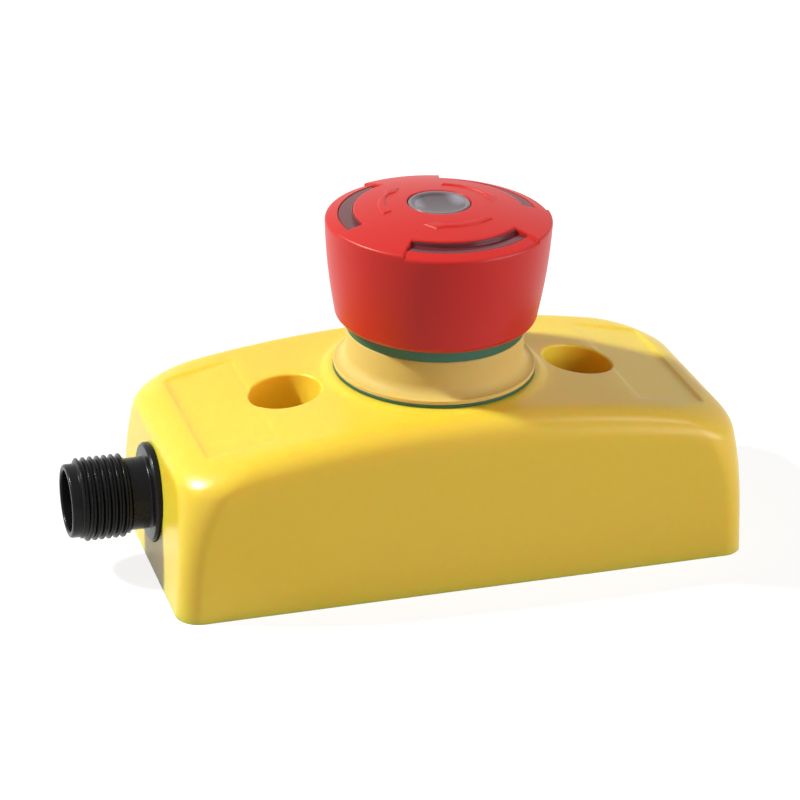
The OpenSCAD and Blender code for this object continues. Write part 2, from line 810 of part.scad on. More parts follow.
// Four bent strips: each comes over its bridge's tip, out through the block and down to the board
module fixed_contacts() {
    outer = block_l / 2 + 0.9;
    color(BRASS) for (sx = [-1, 1], sy = [-1, 1]) {
        scale([sx, 1, 1]) translate([0, sy * bridge_y - bridge_w / 2, 0]) {
            translate([tip_x - 1.2, 0, strip_z]) cube([outer - tip_x + 1.2, bridge_w, strip_t]);
            translate([outer - strip_t, 0, board_top]) cube([strip_t, bridge_w, strip_z - board_top + 0.1]);
        }
    }
}

module contact_springs() {
    color(STEEL) for (s = [-1, 1]) {
        translate([0, s * bridge_y, block_floor_z])
            coil(bridge_w / 2 - contact_wire - 0.1, contact_wire, bridge_z - block_floor_z,
                contact_turns, 12, 6);
    }
}

module contact_block() {
    color(BLACK) difference() {
        translate([-block_l / 2, -block_w / 2, block_z]) cube([block_l, block_w, latch_z - block_z]);
        translate([-block_l / 2 + block_wall, -block_w / 2 + block_wall, block_floor_z])
            cube([block_l - 2 * block_wall, block_w - 2 * block_wall, latch_z]);
        for (s = [-1, 1]) {
            translate([-block_l / 2 - CUT, s * bridge_y - bridge_w / 2 - 0.05, strip_z])
                cube([block_l + 2 * CUT, bridge_w + 0.1, latch_z]);
        }
        translate([0, 0, block_z - CUT]) cylinder(r = led_r + 0.7, h = block_floor + 2 * CUT, $fn = FINE);
    }
}

// The latch block: a plate over the contact block, bored for the stem and the two latch pins
module latch_block() {
    color(WHITE) difference() {
        translate([-block_l / 2, -block_w / 2, latch_z]) cube([block_l, block_w, latch_h]);
        translate([0, 0, latch_z - CUT]) cylinder(r = stem_r + 0.4, h = latch_h + 2 * CUT, $fn = ROUND);
        for (s = [-1, 1]) {
            translate([0, 0, pin_z]) rotate([0, s * 90, 0])
                cylinder(r = pin_r + run_gap, h = block_l / 2 - 0.5, $fn = FINE);
        }
    }
}

module latch_pin(side) {
    color(STEEL) translate([side * pin_tip_x, 0, pin_z]) rotate([0, side * 90, 0])
        rotate_extrude($fn = FINE) polygon(concat(
            [[0, 0]],
            [for (t = [15:15:75]) [pin_r * sin(t), pin_r * (1 - cos(t))]],
            [[pin_r, pin_r], [pin_r, pin_l], [0, pin_l]]
        ));
}

module latch_pin_left() {
    latch_pin(-1);
}

module latch_pin_right() {
    latch_pin(1);
}

module latch_springs() {
    h = block_l / 2 - 0.5 - pin_back_x;
    color(STEEL) for (s = [-1, 1]) {
        translate([s * pin_back_x, 0, pin_z]) rotate([0, s * 90, 0])
            coil(pin_r - latch_wire - 0.1, latch_wire, h, 4, 12, 6);
    }
}

module circuit_board() {
    color(BOARD) difference() {
        translate([-board_l / 2, -board_w / 2, board_z]) cube([board_l, board_w, board_t]);
        translate([0, 0, board_z - CUT]) at_holes()
            cylinder(r = tube_r + board_gap, h = board_t + 2 * CUT, $fn = ROUND);
        at_posts() translate([0, 0, board_z - CUT])
            cylinder(r = screw_r + 0.1, h = board_t + 2 * CUT, $fn = FINE);
    }
}

module board_screws() {
    color(STEEL) at_posts() {
        translate([0, 0, plate_t + 0.2]) cylinder(r = screw_r, h = board_top - plate_t, $fn = FINE);
        translate([0, 0, board_top]) rotate_extrude($fn = FINE)
            polygon([[0, 0], [screw_head_r, 0], [screw_head_r, 0.4], [screw_head_r - 0.4, 0.8], [0, 0.8]]);
    }
}

// Small parts soldered to the board: a row at its right end, and a chip in front of and behind the tube
module board_components() {
    color(BLACK) {
        for (i = [-1.5:1.5]) {
            translate([board_l / 2 - small_l / 2 - 1, small_pitch * i, board_top + small_h / 2])
                cube([small_l, small_w, small_h], center = true);
        }
        for (s = [-1, 1]) {
            translate([hole_spacing / 2, s * (board_w / 2 - chip_w / 2 - 1), board_top + chip_h / 2])
                cube([chip_l, chip_w, chip_h], center = true);
        }
    }
}

module status_led() {
    color(CLEAR) translate([0, 0, board_top]) rotate_extrude($fn = FINE) polygon(concat(
        [[0, 0], [led_r + 0.4, 0], [led_r + 0.4, 0.8], [led_r, 0.8], [led_r, led_h - led_r]],
        [for (t = [15:15:75]) [led_r * cos(t), led_h - led_r + led_r * sin(t)]],
        [[0, led_h]]
    ));
}

// The connector's shell: mouth, thread, neck and flange outside, a threaded spigot inside
module connector_body() {
    thread_x = conn_mouth_x + conn_lead_l;
    neck_x = conn_seat_x - conn_flange_t - conn_neck_l;
    chamfer = 0.3;
    color(BLACK) translate([0, 0, conn_z]) rotate([0, 90, 0]) rotate_extrude($fn = ROUND) polygon([
        [conn_bore_r + 0.3, conn_mouth_x],
        [conn_lead_r - chamfer, conn_mouth_x],
        [conn_lead_r, conn_mouth_x + chamfer],
        [conn_lead_r, thread_x],
        [thread_r, thread_x + chamfer],
        [thread_r, neck_x - chamfer],
        [conn_neck_r, neck_x],
        [conn_neck_r, neck_x + conn_neck_l],
        [conn_flange_r - chamfer, neck_x + conn_neck_l],
        [conn_flange_r, neck_x + conn_neck_l + chamfer],
        [conn_flange_r, conn_seat_x],
        [thread_r, conn_seat_x],
        [thread_r, conn_back_x],
        [conn_bore_r, conn_back_x],
        [conn_bore_r, conn_mouth_x + 0.3]
    ]);
}

module connector_seal() {
    color(BLACK) translate([conn_seat_x, 0, conn_z]) rotate([0, 90, 0])
        tube(conn_seal_r, thread_r, 0, conn_seal_t);
}

module connector_nut() {
    color(BRASS) translate([conn_wall_x, 0, conn_z]) rotate([0, 90, 0]) difference() {
        cylinder(r = conn_nut_af / sqrt(3), h = conn_nut_h, $fn = 6);
        translate([0, 0, -CUT]) cylinder(r = thread_r, h = conn_nut_h + 2 * CUT, $fn = ROUND);
    }
}

// Places of the five contact pins across the connector's axis
function pin_place(k) = k == 0 ? [0, 0] : [cpin_circle_r * cos(90 * k - 45), cpin_circle_r * sin(90 * k - 45)];

module connector_insert() {
    color(BLACK) difference() {
        along_x(conn_bore_r, insert_face_x, conn_back_x);
        for (k = [0:4]) {
            translate([0, pin_place(k)[0], pin_place(k)[1]])
                along_x(cpin_r, insert_face_x - CUT, conn_back_x + CUT, FINE);
        }
    }
}

module connector_pins() {
    color(BRASS) for (k = [0:4]) {
        translate([conn_mouth_x + pin_recess, pin_place(k)[0], conn_z + pin_place(k)[1]])
            rotate([0, 90, 0]) {
                translate([0, 0, cpin_r])
                    cylinder(r = cpin_r, h = pin_tail_x - conn_mouth_x - pin_recess - cpin_r, $fn = FINE);
                cylinder(r1 = cpin_r * 0.4, r2 = cpin_r, h = cpin_r, $fn = FINE);
            }
    }
}

// Insulated leads that bend from the pins down to the board, straight at both ends: how far each reaches,
// and where it lands
lead_end = 0.3;
lead_room = -hole_spacing / 2 - tube_r - board_gap - lead_r - pin_tail_x - lead_end;
lead_reach = [0.8, 1, 1, 0.55, 0.55] * lead_room;
lead_y = [0, 3.2, -3.2, -1.7, 1.7];
module connector_leads() {
    color(WHITE) for (k = [0:4]) {
        y = pin_place(k)[0];
        z = conn_z + pin_place(k)[1];
        low = board_top + lead_end;
        wire(concat(
            [[pin_tail_x, y, z]],
            [
                for (i = [0:8])
                    let (t = 90 * i / 8)
                    [
                        pin_tail_x + lead_end + lead_reach[k] * sin(t),
                        y + (lead_y[k] - y) * (1 - cos(t)),
                        low + (z - low) * cos(t)
                    ]
            ],
            [[pin_tail_x + lead_end + lead_reach[k], lead_y[k], board_top]]
        ), lead_r, 8, [0, 1, 0]);
    }
}

housing();
base_plate();
base_seal();
collar();
collar_seal();
collar_nut();
armed_ring();
stem_seal();
latch_block();
latch_springs();
contact_block();
fixed_contacts();
contact_springs();
return_spring();
circuit_board();
board_components();
board_screws();
status_led();
connector_body();
connector_seal();
connector_nut();
connector_insert();
connector_pins();
connector_leads();
plunger();
light_pipe();
bridge_carrier();
contact_bridge_front();
contact_bridge_back();
latch_pin_left();
latch_pin_right();
cap();
cap_core();
light_ring();
window_lens();
retaining_ring();
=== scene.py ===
"""Looks of a compact emergency stop push button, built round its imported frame.

The sizes in the classes are millimetres, as on a drawing. Meshes are made in metres, in the frame's own axes:
X runs along the housing with the connector at -X, Y to the back, Z up along the push axis.
"""

import logging
import math
from dataclasses import dataclass, field
from enum import Enum
from typing import Iterable, Sequence

import bmesh
import bpy
import numpy as np
from mathutils import Matrix, Vector
from mathutils.geometry import delaunay_2d_cdt

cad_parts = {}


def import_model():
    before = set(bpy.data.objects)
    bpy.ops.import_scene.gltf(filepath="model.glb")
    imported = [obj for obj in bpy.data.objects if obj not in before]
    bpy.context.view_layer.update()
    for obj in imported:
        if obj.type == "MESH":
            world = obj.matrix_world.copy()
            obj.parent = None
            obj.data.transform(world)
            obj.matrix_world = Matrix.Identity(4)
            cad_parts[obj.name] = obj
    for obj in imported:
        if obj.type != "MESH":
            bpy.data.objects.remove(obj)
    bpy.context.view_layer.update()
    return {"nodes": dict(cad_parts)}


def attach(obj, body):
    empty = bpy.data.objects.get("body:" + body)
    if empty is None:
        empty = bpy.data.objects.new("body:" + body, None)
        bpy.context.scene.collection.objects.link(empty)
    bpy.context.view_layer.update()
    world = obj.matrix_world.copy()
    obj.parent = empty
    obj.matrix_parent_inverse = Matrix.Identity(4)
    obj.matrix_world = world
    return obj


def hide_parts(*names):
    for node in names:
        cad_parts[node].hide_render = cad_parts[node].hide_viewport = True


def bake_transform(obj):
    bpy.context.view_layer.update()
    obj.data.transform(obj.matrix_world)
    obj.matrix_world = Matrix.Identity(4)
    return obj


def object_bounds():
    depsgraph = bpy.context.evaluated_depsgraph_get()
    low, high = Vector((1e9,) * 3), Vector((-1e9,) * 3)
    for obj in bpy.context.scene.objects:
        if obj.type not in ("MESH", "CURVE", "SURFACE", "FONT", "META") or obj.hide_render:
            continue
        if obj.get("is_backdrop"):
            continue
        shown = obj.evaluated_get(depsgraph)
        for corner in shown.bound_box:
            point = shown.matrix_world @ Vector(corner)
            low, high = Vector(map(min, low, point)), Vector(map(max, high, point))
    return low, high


LOG = logging.getLogger("stop_button")
MM = 0.001
MERGE = 1e-7  # metres within which vertices are one
SNAP = 1e-4  # millimetres within which a point lies on an edge
Point = tuple[float, float]
Place = tuple[float, float, float]


class Body(Enum):
    """Names of the bodies that pieces ride on."""

    ENCLOSURE = "enclosure"
    PLUNGER = "plunger"
    BUTTON = "button"


# Profiles and meshes


def smooth(t: float) -> float:
    """A soft step: 0 up to t = 0, 1 from t = 1 on."""
    t = max(0.0, min(1.0, t))
    return t * t * (3 - 2 * t)


def circle(cx: float, r: float, count: int) -> list[Point]:
    """Points of a circle about (cx, 0), counterclockwise."""
    return [(cx + r * math.cos(2 * math.pi * i / count), r * math.sin(2 * math.pi * i / count)) for i in range(count)]


def apart(a: float, b: float) -> float:
    """Angle between two directions, in degrees."""
    return abs((a - b + 180) % 360 - 180)


def rounded_gap(x: float, y: float, half: Point, r: float) -> float:
    """Distance to a rounded rectangle about the origin, negative inside it."""
    dx, dy = abs(x) - (half[0] - r), abs(y) - (half[1] - r)
    return math.hypot(max(dx, 0.0), max(dy, 0.0)) + min(max(dx, dy), 0.0) - r


def rounded_rectangle(half: Point, r: float, corner: int = 6, ends: int = 1, sides: int = 1,
                      cx: float = 0.0) -> list[Point]:
    """The outline of a rounded rectangle, counterclockwise from the front of its right end.

    Args:
        half: Half its length and half its width.
        r: Radius of its corners.
        corner: Steps round each corner.
        ends: Steps along each end.
        sides: Steps along each side.
        cx: Place of its middle along X.

    Returns:
        The outline's points.
    """
    a, b = half[0] - r, half[1] - r
    centres = [(cx + a, -b), (cx + a, b), (cx - a, b), (cx - a, -b)]
    points: list[Point] = []
    for k, (x, y) in enumerate(centres):
        for i in range(corner + 1):
            t = math.radians(90 * (k - 1) + 90 * i / corner)
            points.append((x + r * math.cos(t), y + r * math.sin(t)))
        c, s = r * math.cos(math.radians(90 * k)), r * math.sin(math.radians(90 * k))
        nx, ny = centres[(k + 1) % 4]
        steps = ends if k % 2 == 0 else sides
        points += [(x + c + (nx - x) * i / steps, y + s + (ny - y) * i / steps) for i in range(1, steps)]
    return points


@dataclass(frozen=True)
class Corner:
    """A corner of a profile at radius r and height z, rounded by radius round."""

    r: float
    z: float
    round: float = 0.0


def arc_corner(before: Vector, at: Vector, after: Vector, radius: float, steps: int) -> list[Point]:
    """Points of the arc that rounds one corner of a polyline.

    Args:
        before: The corner before this one.
        at: The corner to round.
        after: The corner after this one.
        radius: Radius of the rounding.
        steps: Number of straight pieces in the arc.

    Returns:
        The arc's points, from the side of before to the side of after.
    """
    to_a, to_b = (before - at), (after - at)
    a, b = to_a.normalized(), to_b.normalized()
    half = math.acos(max(-1.0, min(1.0, a.dot(b)))) / 2
    reach = min(radius / math.tan(half), 0.49 * to_a.length, 0.49 * to_b.length)
    radius = reach * math.tan(half)
    centre = at + (a + b).normalized() * (radius / math.sin(half))
    start, end = at + a * reach - centre, at + b * reach - centre
    turn = math.atan2(start.x * end.y - start.y * end.x, start.dot(end))
    points = []
    for i in range(steps + 1):
        t = turn * i / steps
        c, s = math.cos(t), math.sin(t)
        points.append((centre.x + start.x * c - start.y * s, centre.y + start.x * s + start.y * c))
    return points


def rounded(corners: Sequence[Corner], closed: bool = True, steps: int = 6) -> list[Point]:
    """A profile with its corners rounded.

    Args:
        corners: The corners in order.
        closed: Whether the last corner joins the first.
        steps: Number of straight pieces in each rounding.

    Returns:
        The profile's points as (r, z).
    """
    points: list[Point] = []
    n = len(corners)
    for i, c in enumerate(corners):
        at_end = not closed and i in (0, n - 1)
        if c.round <= 0 or at_end:
            points.append((c.r, c.z))
            continue
        before, after = corners[i - 1], corners[(i + 1) % n]
        points += arc_corner(
            Vector((before.r, before.z)), Vector((c.r, c.z)), Vector((after.r, after.z)), c.round, steps
        )
    return points


def walls(rows: int, count: int, start: int = 0) -> list[list[int]]:
    """Faces between rows of count vertices each, which follow each other from vertex start on.

    Args:
        rows: Number of rows.
        count: Number of vertices in each row.
        start: Number of the first vertex.

    Returns:
        Four-sided faces as lists of vertex numbers.
    """
    return [
        [start + j * count + i, start + j * count + (i + 1) % count,
         start + (j + 1) * count + (i + 1) % count, start + (j + 1) * count + i]
        for j in range(rows - 1) for i in range(count)
    ]


def merge(mesh: bpy.types.Mesh, distance: float = MERGE, dissolve: bool = False, outward: bool = False) -> None:
    """Merges a mesh's double vertices.

    Args:
        mesh: The mesh.
        distance: How close two vertices lie that are merged, in metres.
        dissolve: Whether faces without area go too.
        outward: Whether the faces are turned outwards.
    """
    bm = bmesh.new()
    bm.from_mesh(mesh)
    bmesh.ops.remove_doubles(bm, verts=bm.verts, dist=distance)
    if dissolve:
        bmesh.ops.dissolve_degenerate(bm, edges=bm.edges, dist=MERGE / 10)
    if outward:
        bmesh.ops.recalc_face_normals(bm, faces=bm.faces)
    bm.to_mesh(mesh)
    bm.free()


def mesh_object(name: str, vertices: Iterable[Sequence[float]], faces: Iterable[Sequence[int]],
                sharp: float = 38.0) -> bpy.types.Object:
    """A smooth-shaded object from vertices in millimetres.

    Args:
        name: The piece's name.
        vertices: Vertices in millimetres.
        faces: Faces as lists of vertex numbers, in any winding.
        sharp: Angle in degrees past which an edge stays sharp.

    Returns:
        The object, linked to the scene, with its faces outwards.
    """
    mesh = bpy.data.meshes.new(name)
    mesh.from_pydata([[c * MM for c in v] for v in vertices], [], [list(f) for f in faces])
    merge(mesh, dissolve=True, outward=True)
    return smooth_object(name, mesh, sharp)


def prism(name: str, outline: Sequence[Point], z0: float, z1: float) -> bpy.types.Object:
    """A closed prism over an outline.

    Args:
        name: The piece's name.
        outline: Its outline, as points (x, y).
        z0: Height of its base.
        z1: Height of its top.

    Returns:
        The prism.
    """
    n = len(outline)
    vertices = [(x, y, z) for z in (z0, z1) for x, y in outline]
    return mesh_object(name, vertices, walls(2, n) + [list(range(n)), list(range(n, 2 * n))])


def smooth_object(name: str, mesh: bpy.types.Mesh, sharp: float = 38.0) -> bpy.types.Object:
    """A scene object of a mesh that is shaded smooth but for its sharp edges.

    Args:
        name: The piece's name.
        mesh: Its mesh.
        sharp: Angle in degrees past which an edge stays sharp.

    Returns:
        The object, linked to the scene.
    """
    mesh.polygons.foreach_set("use_smooth", [True] * len(mesh.polygons))
    mesh.set_sharp_from_angle(angle=math.radians(sharp))
    piece = bpy.data.objects.new(name, mesh)
    bpy.context.scene.collection.objects.link(piece)
    return piece


def revolve(name: str, profile: Sequence[Point], columns: int = 192, closed: bool = True,
            sharp: float = 38.0) -> bpy.types.Object:
    """A turned piece about the Z axis.

    Args:
        name: The piece's name.
        profile: Points (r, z); a point on the axis becomes one pole.
        columns: Number of columns round the axis.
        closed: Whether the last point joins the first.
        sharp: Angle in degrees past which an edge stays sharp.

    Returns:
        The object.
    """
    vertices: list[Place] = []
    rows: list[list[int]] = []
    for r, z in profile:
        if r < SNAP:
            rows.append([len(vertices)] * columns)
            vertices.append((0.0, 0.0, z))
            continue
        rows.append(list(range(len(vertices), len(vertices) + columns)))
        vertices += [(x, y, z) for x, y in circle(0.0, r, columns)]
    faces = []
    count = len(rows) if closed else len(rows) - 1
    for j in range(count):
        low, high = rows[j], rows[(j + 1) % len(rows)]
        for i in range(columns):
            k = (i + 1) % columns
            corners = list(dict.fromkeys([low[i], low[k], high[k], high[i]]))
            if len(corners) > 2:
                faces.append(corners)
    return mesh_object(name, vertices, faces, sharp)


def turn_to_x(piece: bpy.types.Object, z: float) -> bpy.types.Object:
    """Lays a piece that was turned about Z along X, on an axis at height z in millimetres.

    Args:
        piece: The piece.
        z: The axis's height in millimetres.

    Returns:
        The same piece.
    """
    lay = Matrix(((0, 0, 1, 0), (0, 1, 0, 0), (-1, 0, 0, z * MM), (0, 0, 0, 1)))
    piece.data.transform(lay)
    return piece


def subtract(piece: bpy.types.Object, cutters: Sequence[bpy.types.Object]) -> None:
    """Cuts each cutter out of the piece and removes the cutters.

    Args:
        piece: The closed solid that is cut.
        cutters: Closed solids to take away.
    """
    for cutter in cutters:
        cut = piece.modifiers.new("cut", "BOOLEAN")
        cut.operation = "DIFFERENCE"
        cut.solver = "EXACT"
        cut.object = cutter
        evaluated = piece.evaluated_get(bpy.context.evaluated_depsgraph_get())
        mesh = bpy.data.meshes.new_from_object(evaluated)
        piece.modifiers.remove(cut)
        old, piece.data = piece.data, mesh
        bpy.data.meshes.remove(old)
        bpy.data.objects.remove(cutter)


def finish_cut(piece: bpy.types.Object, sharp: float = 30.0) -> None:
    """Merges the doubles that cuts leave, and marks the sharp edges again.

    Args:
        piece: The piece that was cut.
        sharp: Angle in degrees past which an edge stays sharp.
    """
    merge(piece.data, 2 * MERGE, dissolve=True)
    piece.data.polygons.foreach_set("use_smooth", [True] * len(piece.data.polygons))
    piece.data.set_sharp_from_angle(angle=math.radians(sharp))


def dress(piece: bpy.types.Object, finish: "Finish") -> None:
    """Gives a piece its finish.

    Args:
        piece: The piece.
        finish: Its finish.
    """
    piece.data.materials.clear()
    piece.data.materials.append(finish.material())


def place(piece: bpy.types.Object, body: Body, node: str, finish: "Finish") -> bpy.types.Object:
    """Dresses a piece, lets it ride on its body and stand for its node.

    Args:
        piece: The finished piece.
        body: The body that it rides on.
        node: The node that it stands for, or an empty string.
        finish: Its finish.

    Returns:
        The piece.
    """
    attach(piece, body.value)
    if node:
        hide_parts(node)
    dress(piece, finish)
    LOG.info("%s rides on %s: %d faces", piece.name, body.value, len(piece.data.polygons))
    return piece


# Finishes


class Nodes:
    """A thin helper over one shader or geometry node tree."""

    def __init__(self, tree: bpy.types.NodeTree) -> None:
        """Keeps the tree."""
        self.tree = tree

    def add(self, kind: str, settings: dict[str, object] | None = None,
            values: dict[str | int, object] | None = None) -> bpy.types.Node:
        """Adds a node.

        Args:
            kind: The node's type name.
            settings: Its properties.
            values: Its inputs by name or number; a socket links, anything else is set.

        Returns:
            The node.
        """
        node = self.tree.nodes.new(kind)
        for key, value in (settings or {}).items():
            setattr(node, key, value)
        for key, value in (values or {}).items():
            socket = node.inputs[key]
            if isinstance(value, bpy.types.NodeSocket):
                self.tree.links.new(value, socket)
            else:
                socket.default_value = value
        return node

    def maths(self, operation: str, *values: object) -> bpy.types.NodeSocket:
        """A Math node's result."""
        return self.add("ShaderNodeMath", {"operation": operation}, dict(enumerate(values))).outputs[0]

    def ramp(self, value: object, low: object, high: object, least: float = 0.0) -> bpy.types.NodeSocket:
        """A soft step from least up to 1 between a low and a high value."""
        values = {"Value": value, "From Min": low, "From Max": high, "To Min": least}
        return self.add("ShaderNodeMapRange", {"interpolation_type": "SMOOTHSTEP"}, values).outputs["Result"]

    def mix(self, factor: object, first: object, second: object) -> bpy.types.NodeSocket:
        """A blend of two colours."""
        node = self.add("ShaderNodeMix", {"data_type": "RGBA"}, {"Factor": factor, "A": first, "B": second})
        return next(s for s in node.outputs if s.name == "Result" and s.enabled)

    def noise(self, size: float, detail: float, roughness: float) -> bpy.types.NodeSocket:
        """Noise over the piece, its size in millimetres.

        Args:
            size: Size of its features.
            detail: Number of finer layers.
            roughness: Strength of each finer layer.

        Returns:
            The noise's value.
        """
        where = self.add("ShaderNodeTexCoord").outputs["Object"]
        values = {"Vector": where, "Scale": 1 / (size * MM), "Detail": detail, "Roughness": roughness}
        return self.add("ShaderNodeTexNoise", values=values).outputs["Fac"]


def rgba(colour: Sequence[float]) -> tuple[float, float, float, float]:
    """A colour with alpha."""
    return (*colour, 1.0)


@dataclass(frozen=True)
class Finish:
    """A moulded or metal finish: colour that drifts a little, a fine grain and an even gloss.

    Grain and drift sizes are millimetres on the piece, and depth is how far light spreads inside it.
    """

    name: str
    colour: tuple[float, float, float]
    deep: tuple[float, float, float]
    roughness: float = 0.35
    roughness_drift: float = 0.06
    metallic: float = 0.0
    drift_size: float = 14.0
    grain_size: float = 0.35
    grain_depth: float = 0.004
    specular: float = 0.5
    depth: float = 0.0
    depth_share: float = 0.8
    depth_reach: tuple[float, float, float] = (1.0, 0.4, 0.1)

    @property
    def title(self) -> str:
        """The material's name, apart from the plain one that the frame brings for the same slot."""
        return f"{self.name}_finish"

    def material(self) -> bpy.types.Material:
        """The finish's material, made once."""
        return bpy.data.materials.get(self.title) or self.build()

    def build(self) -> bpy.types.Material:
        """Builds the node tree.

        Returns:
            The new material.
        """
        material = bpy.data.materials.new(self.title)
        material.use_nodes = True
        nodes = Nodes(material.node_tree)
        shader = material.node_tree.nodes["Principled BSDF"]
        drift = nodes.noise(self.drift_size, 3.0, 0.55)
        fine = nodes.noise(self.grain_size, 2.0, 0.5)
        spread = nodes.maths("MULTIPLY_ADD", drift, 0.8, 0.1)
        gloss = nodes.maths(
            "ADD",
            nodes.maths("MULTIPLY_ADD", drift, self.roughness_drift, self.roughness - self.roughness_drift / 2),
            nodes.maths("MULTIPLY_ADD", fine, self.roughness_drift, -self.roughness_drift / 2),
        )
        bump = nodes.add("ShaderNodeBump", values={
            "Height": fine, "Strength": 1.0, "Distance": self.grain_depth * MM,
        })
        links = material.node_tree.links
        links.new(nodes.mix(spread, rgba(self.deep), rgba(self.colour)), shader.inputs["Base Color"])
        links.new(gloss, shader.inputs["Roughness"])
        links.new(bump.outputs["Normal"], shader.inputs["Normal"])
        plain = {"Metallic": self.metallic, "Specular IOR Level": self.specular}
        if self.depth > 0:
            plain |= {"Subsurface Weight": self.depth_share, "Subsurface Radius": self.depth_reach,
                      "Subsurface Scale": self.depth * MM}
        for name, value in plain.items():
            shader.inputs[name].default_value = value
        return material


@dataclass(frozen=True)
class ClearFinish(Finish):
    """A clear moulding, tinted through its depth, over a fine grain."""

    transmission: float = 0.6

    def build(self) -> bpy.types.Material:
        """Adds light that passes through to the plain finish.

        Returns:
            The new material.
        """
        material = super().build()
        shader = material.node_tree.nodes["Principled BSDF"]
        shader.inputs["Transmission Weight"].default_value = self.transmission
        return material


@dataclass(frozen=True)
class WindowFinish(Finish):
    """The window's moulding, with painted reflections: two paler patches and a paler rim."""

    # Painted reflections: two paler patches on the dish, at both sides of its middle and towards its back.
    painted_reflection_patch: tuple[float, float, float] = (0.30, 0.26, 0.32)
    painted_reflection_patch_share: float = 0.75
    painted_reflection_patch_x: Point = (1.4, 3.1)
    painted_reflection_patch_y: Point = (-1.6, 0.9)
    # Painted reflection on the window's rounded rim: a paler colour between the radii rim_r.
    rim: tuple[float, float, float] = (0.20, 0.15, 0.17)
    rim_r: Point = (3.6, 3.85)

    def build(self) -> bpy.types.Material:
        """Adds the painted reflections: two paler patches, at both sides of the window's middle, and a paler rim.

        Returns:
            The new material.
        """
        material = super().build()
        tree = material.node_tree
        nodes = Nodes(tree)
        base = tree.nodes["Principled BSDF"].inputs["Base Color"]
        where = nodes.add("ShaderNodeTexCoord").outputs["Object"]
        x, y = nodes.add("ShaderNodeSeparateXYZ", values={"Vector": where}).outputs[:2]
        # Painted reflections: two paler patches, set by the distance from the middle across and by the place towards
        # the back.
        side = nodes.ramp(nodes.maths("ABSOLUTE", x), *(v * MM for v in self.painted_reflection_patch_x))
        back = nodes.ramp(y, *(v * MM for v in self.painted_reflection_patch_y))
        share = nodes.maths("MULTIPLY", side, nodes.maths("MULTIPLY", back, self.painted_reflection_patch_share))
        painted_reflection_patched = nodes.mix(share, base.links[0].from_socket, rgba(self.painted_reflection_patch))
        # Painted reflection: the rim turns paler between the radii rim_r.
        out = nodes.maths("SQRT", nodes.maths("ADD", nodes.maths("MULTIPLY", x, x), nodes.maths("MULTIPLY", y, y)))
        edge = nodes.ramp(out, *(v * MM for v in self.rim_r))
        tree.links.new(nodes.mix(edge, painted_reflection_patched, rgba(self.rim)), base)
        return material


YELLOW = Finish("yellow_shell", (0.955, 0.62, 0.050), (0.935, 0.60, 0.046), roughness=0.30, grain_depth=0.0022,
                drift_size=26.0, specular=0.4, depth=2.4)
RED = Finish("red_moulding", (0.62, 0.015, 0.011), (0.595, 0.013, 0.010), roughness=0.38, grain_depth=0.0025,
             specular=0.34)
GREEN = Finish("green_moulding", (0.017, 0.112, 0.060), (0.014, 0.095, 0.050), roughness=0.42, grain_depth=0.003)
GREEN_SEAL = Finish("green_seal", (0.018, 0.090, 0.042), (0.014, 0.075, 0.035), roughness=0.55, grain_depth=0.006)
CREAM = Finish("cream_moulding", (0.73, 0.50, 0.150), (0.705, 0.475, 0.140), roughness=0.55, grain_depth=0.0022,
               specular=0.25, depth=0.4)
SMOKE = Finish("smoke_moulding", (0.150, 0.024, 0.032), (0.135, 0.020, 0.027), roughness=0.2, grain_depth=0.001,
               specular=0.4)
# The window's paler patches and rim are painted reflections.
WINDOW = WindowFinish("window_clear", (0.105, 0.072, 0.082), (0.090, 0.060, 0.068), roughness=0.24,
                      roughness_drift=0.01, grain_depth=0.0003, grain_size=1.5, drift_size=3.0)
BLACK_SATIN = Finish("connector_black", (0.0062, 0.0054, 0.0064), (0.0050, 0.0043, 0.0052), roughness=0.27,
                     grain_depth=0.004, grain_size=0.25, specular=0.18)
BLACK_MATTE = Finish("black_moulding", (0.030, 0.030, 0.032), (0.022, 0.022, 0.024), roughness=0.55,
                     grain_depth=0.010, grain_size=0.5)
RUBBER = Finish("seal_rubber", (0.022, 0.022, 0.022), (0.015, 0.015, 0.015), roughness=0.75, grain_depth=0.012)
WHITE = Finish("white_moulding", (0.76, 0.76, 0.72), (0.72, 0.71, 0.67), roughness=0.42)
ZINC = Finish("zinc_steel", (0.60, 0.61, 0.62), (0.50, 0.51, 0.53), roughness=0.30, metallic=1.0, drift_size=2.0)
SPRING = Finish("spring_steel", (0.55, 0.56, 0.58), (0.46, 0.47, 0.49), roughness=0.26, metallic=1.0, drift_size=1.5)
PIN_STEEL = Finish("pin_steel", (0.62, 0.62, 0.63), (0.55, 0.55, 0.57), roughness=0.20, metallic=1.0, drift_size=2.0)
BRASS = Finish("contact_brass", (0.80, 0.58, 0.24), (0.70, 0.48, 0.18), roughness=0.30, metallic=1.0, drift_size=2.5)
NUT = Finish("nut_brass", (0.70, 0.64, 0.50), (0.62, 0.56, 0.42), roughness=0.30, metallic=1.0, drift_size=2.5)
GOLD = Finish("pin_gold", (0.90, 0.66, 0.25), (0.84, 0.58, 0.20), roughness=0.22, metallic=1.0, drift_size=1.2)
COPPER = Finish("bridge_copper", (0.80, 0.46, 0.28), (0.70, 0.38, 0.22), roughness=0.30, metallic=1.0, drift_size=2.5)
BOARD = Finish("board_green", (0.025, 0.16, 0.055), (0.018, 0.13, 0.045), roughness=0.35, drift_size=3.0)
CHIP = Finish("chip_black", (0.020, 0.020, 0.022), (0.014, 0.014, 0.015), roughness=0.60)
JACKET = Finish("lead_jacket", (0.62, 0.62, 0.60), (0.56, 0.56, 0.54), roughness=0.50)
LED = ClearFinish("led_clear", (0.88, 0.88, 0.86), (0.84, 0.84, 0.82), roughness=0.08)
PIPE = ClearFinish("pipe_clear", (0.90, 0.91, 0.92), (0.86, 0.88, 0.90), roughness=0.06, transmission=0.85)

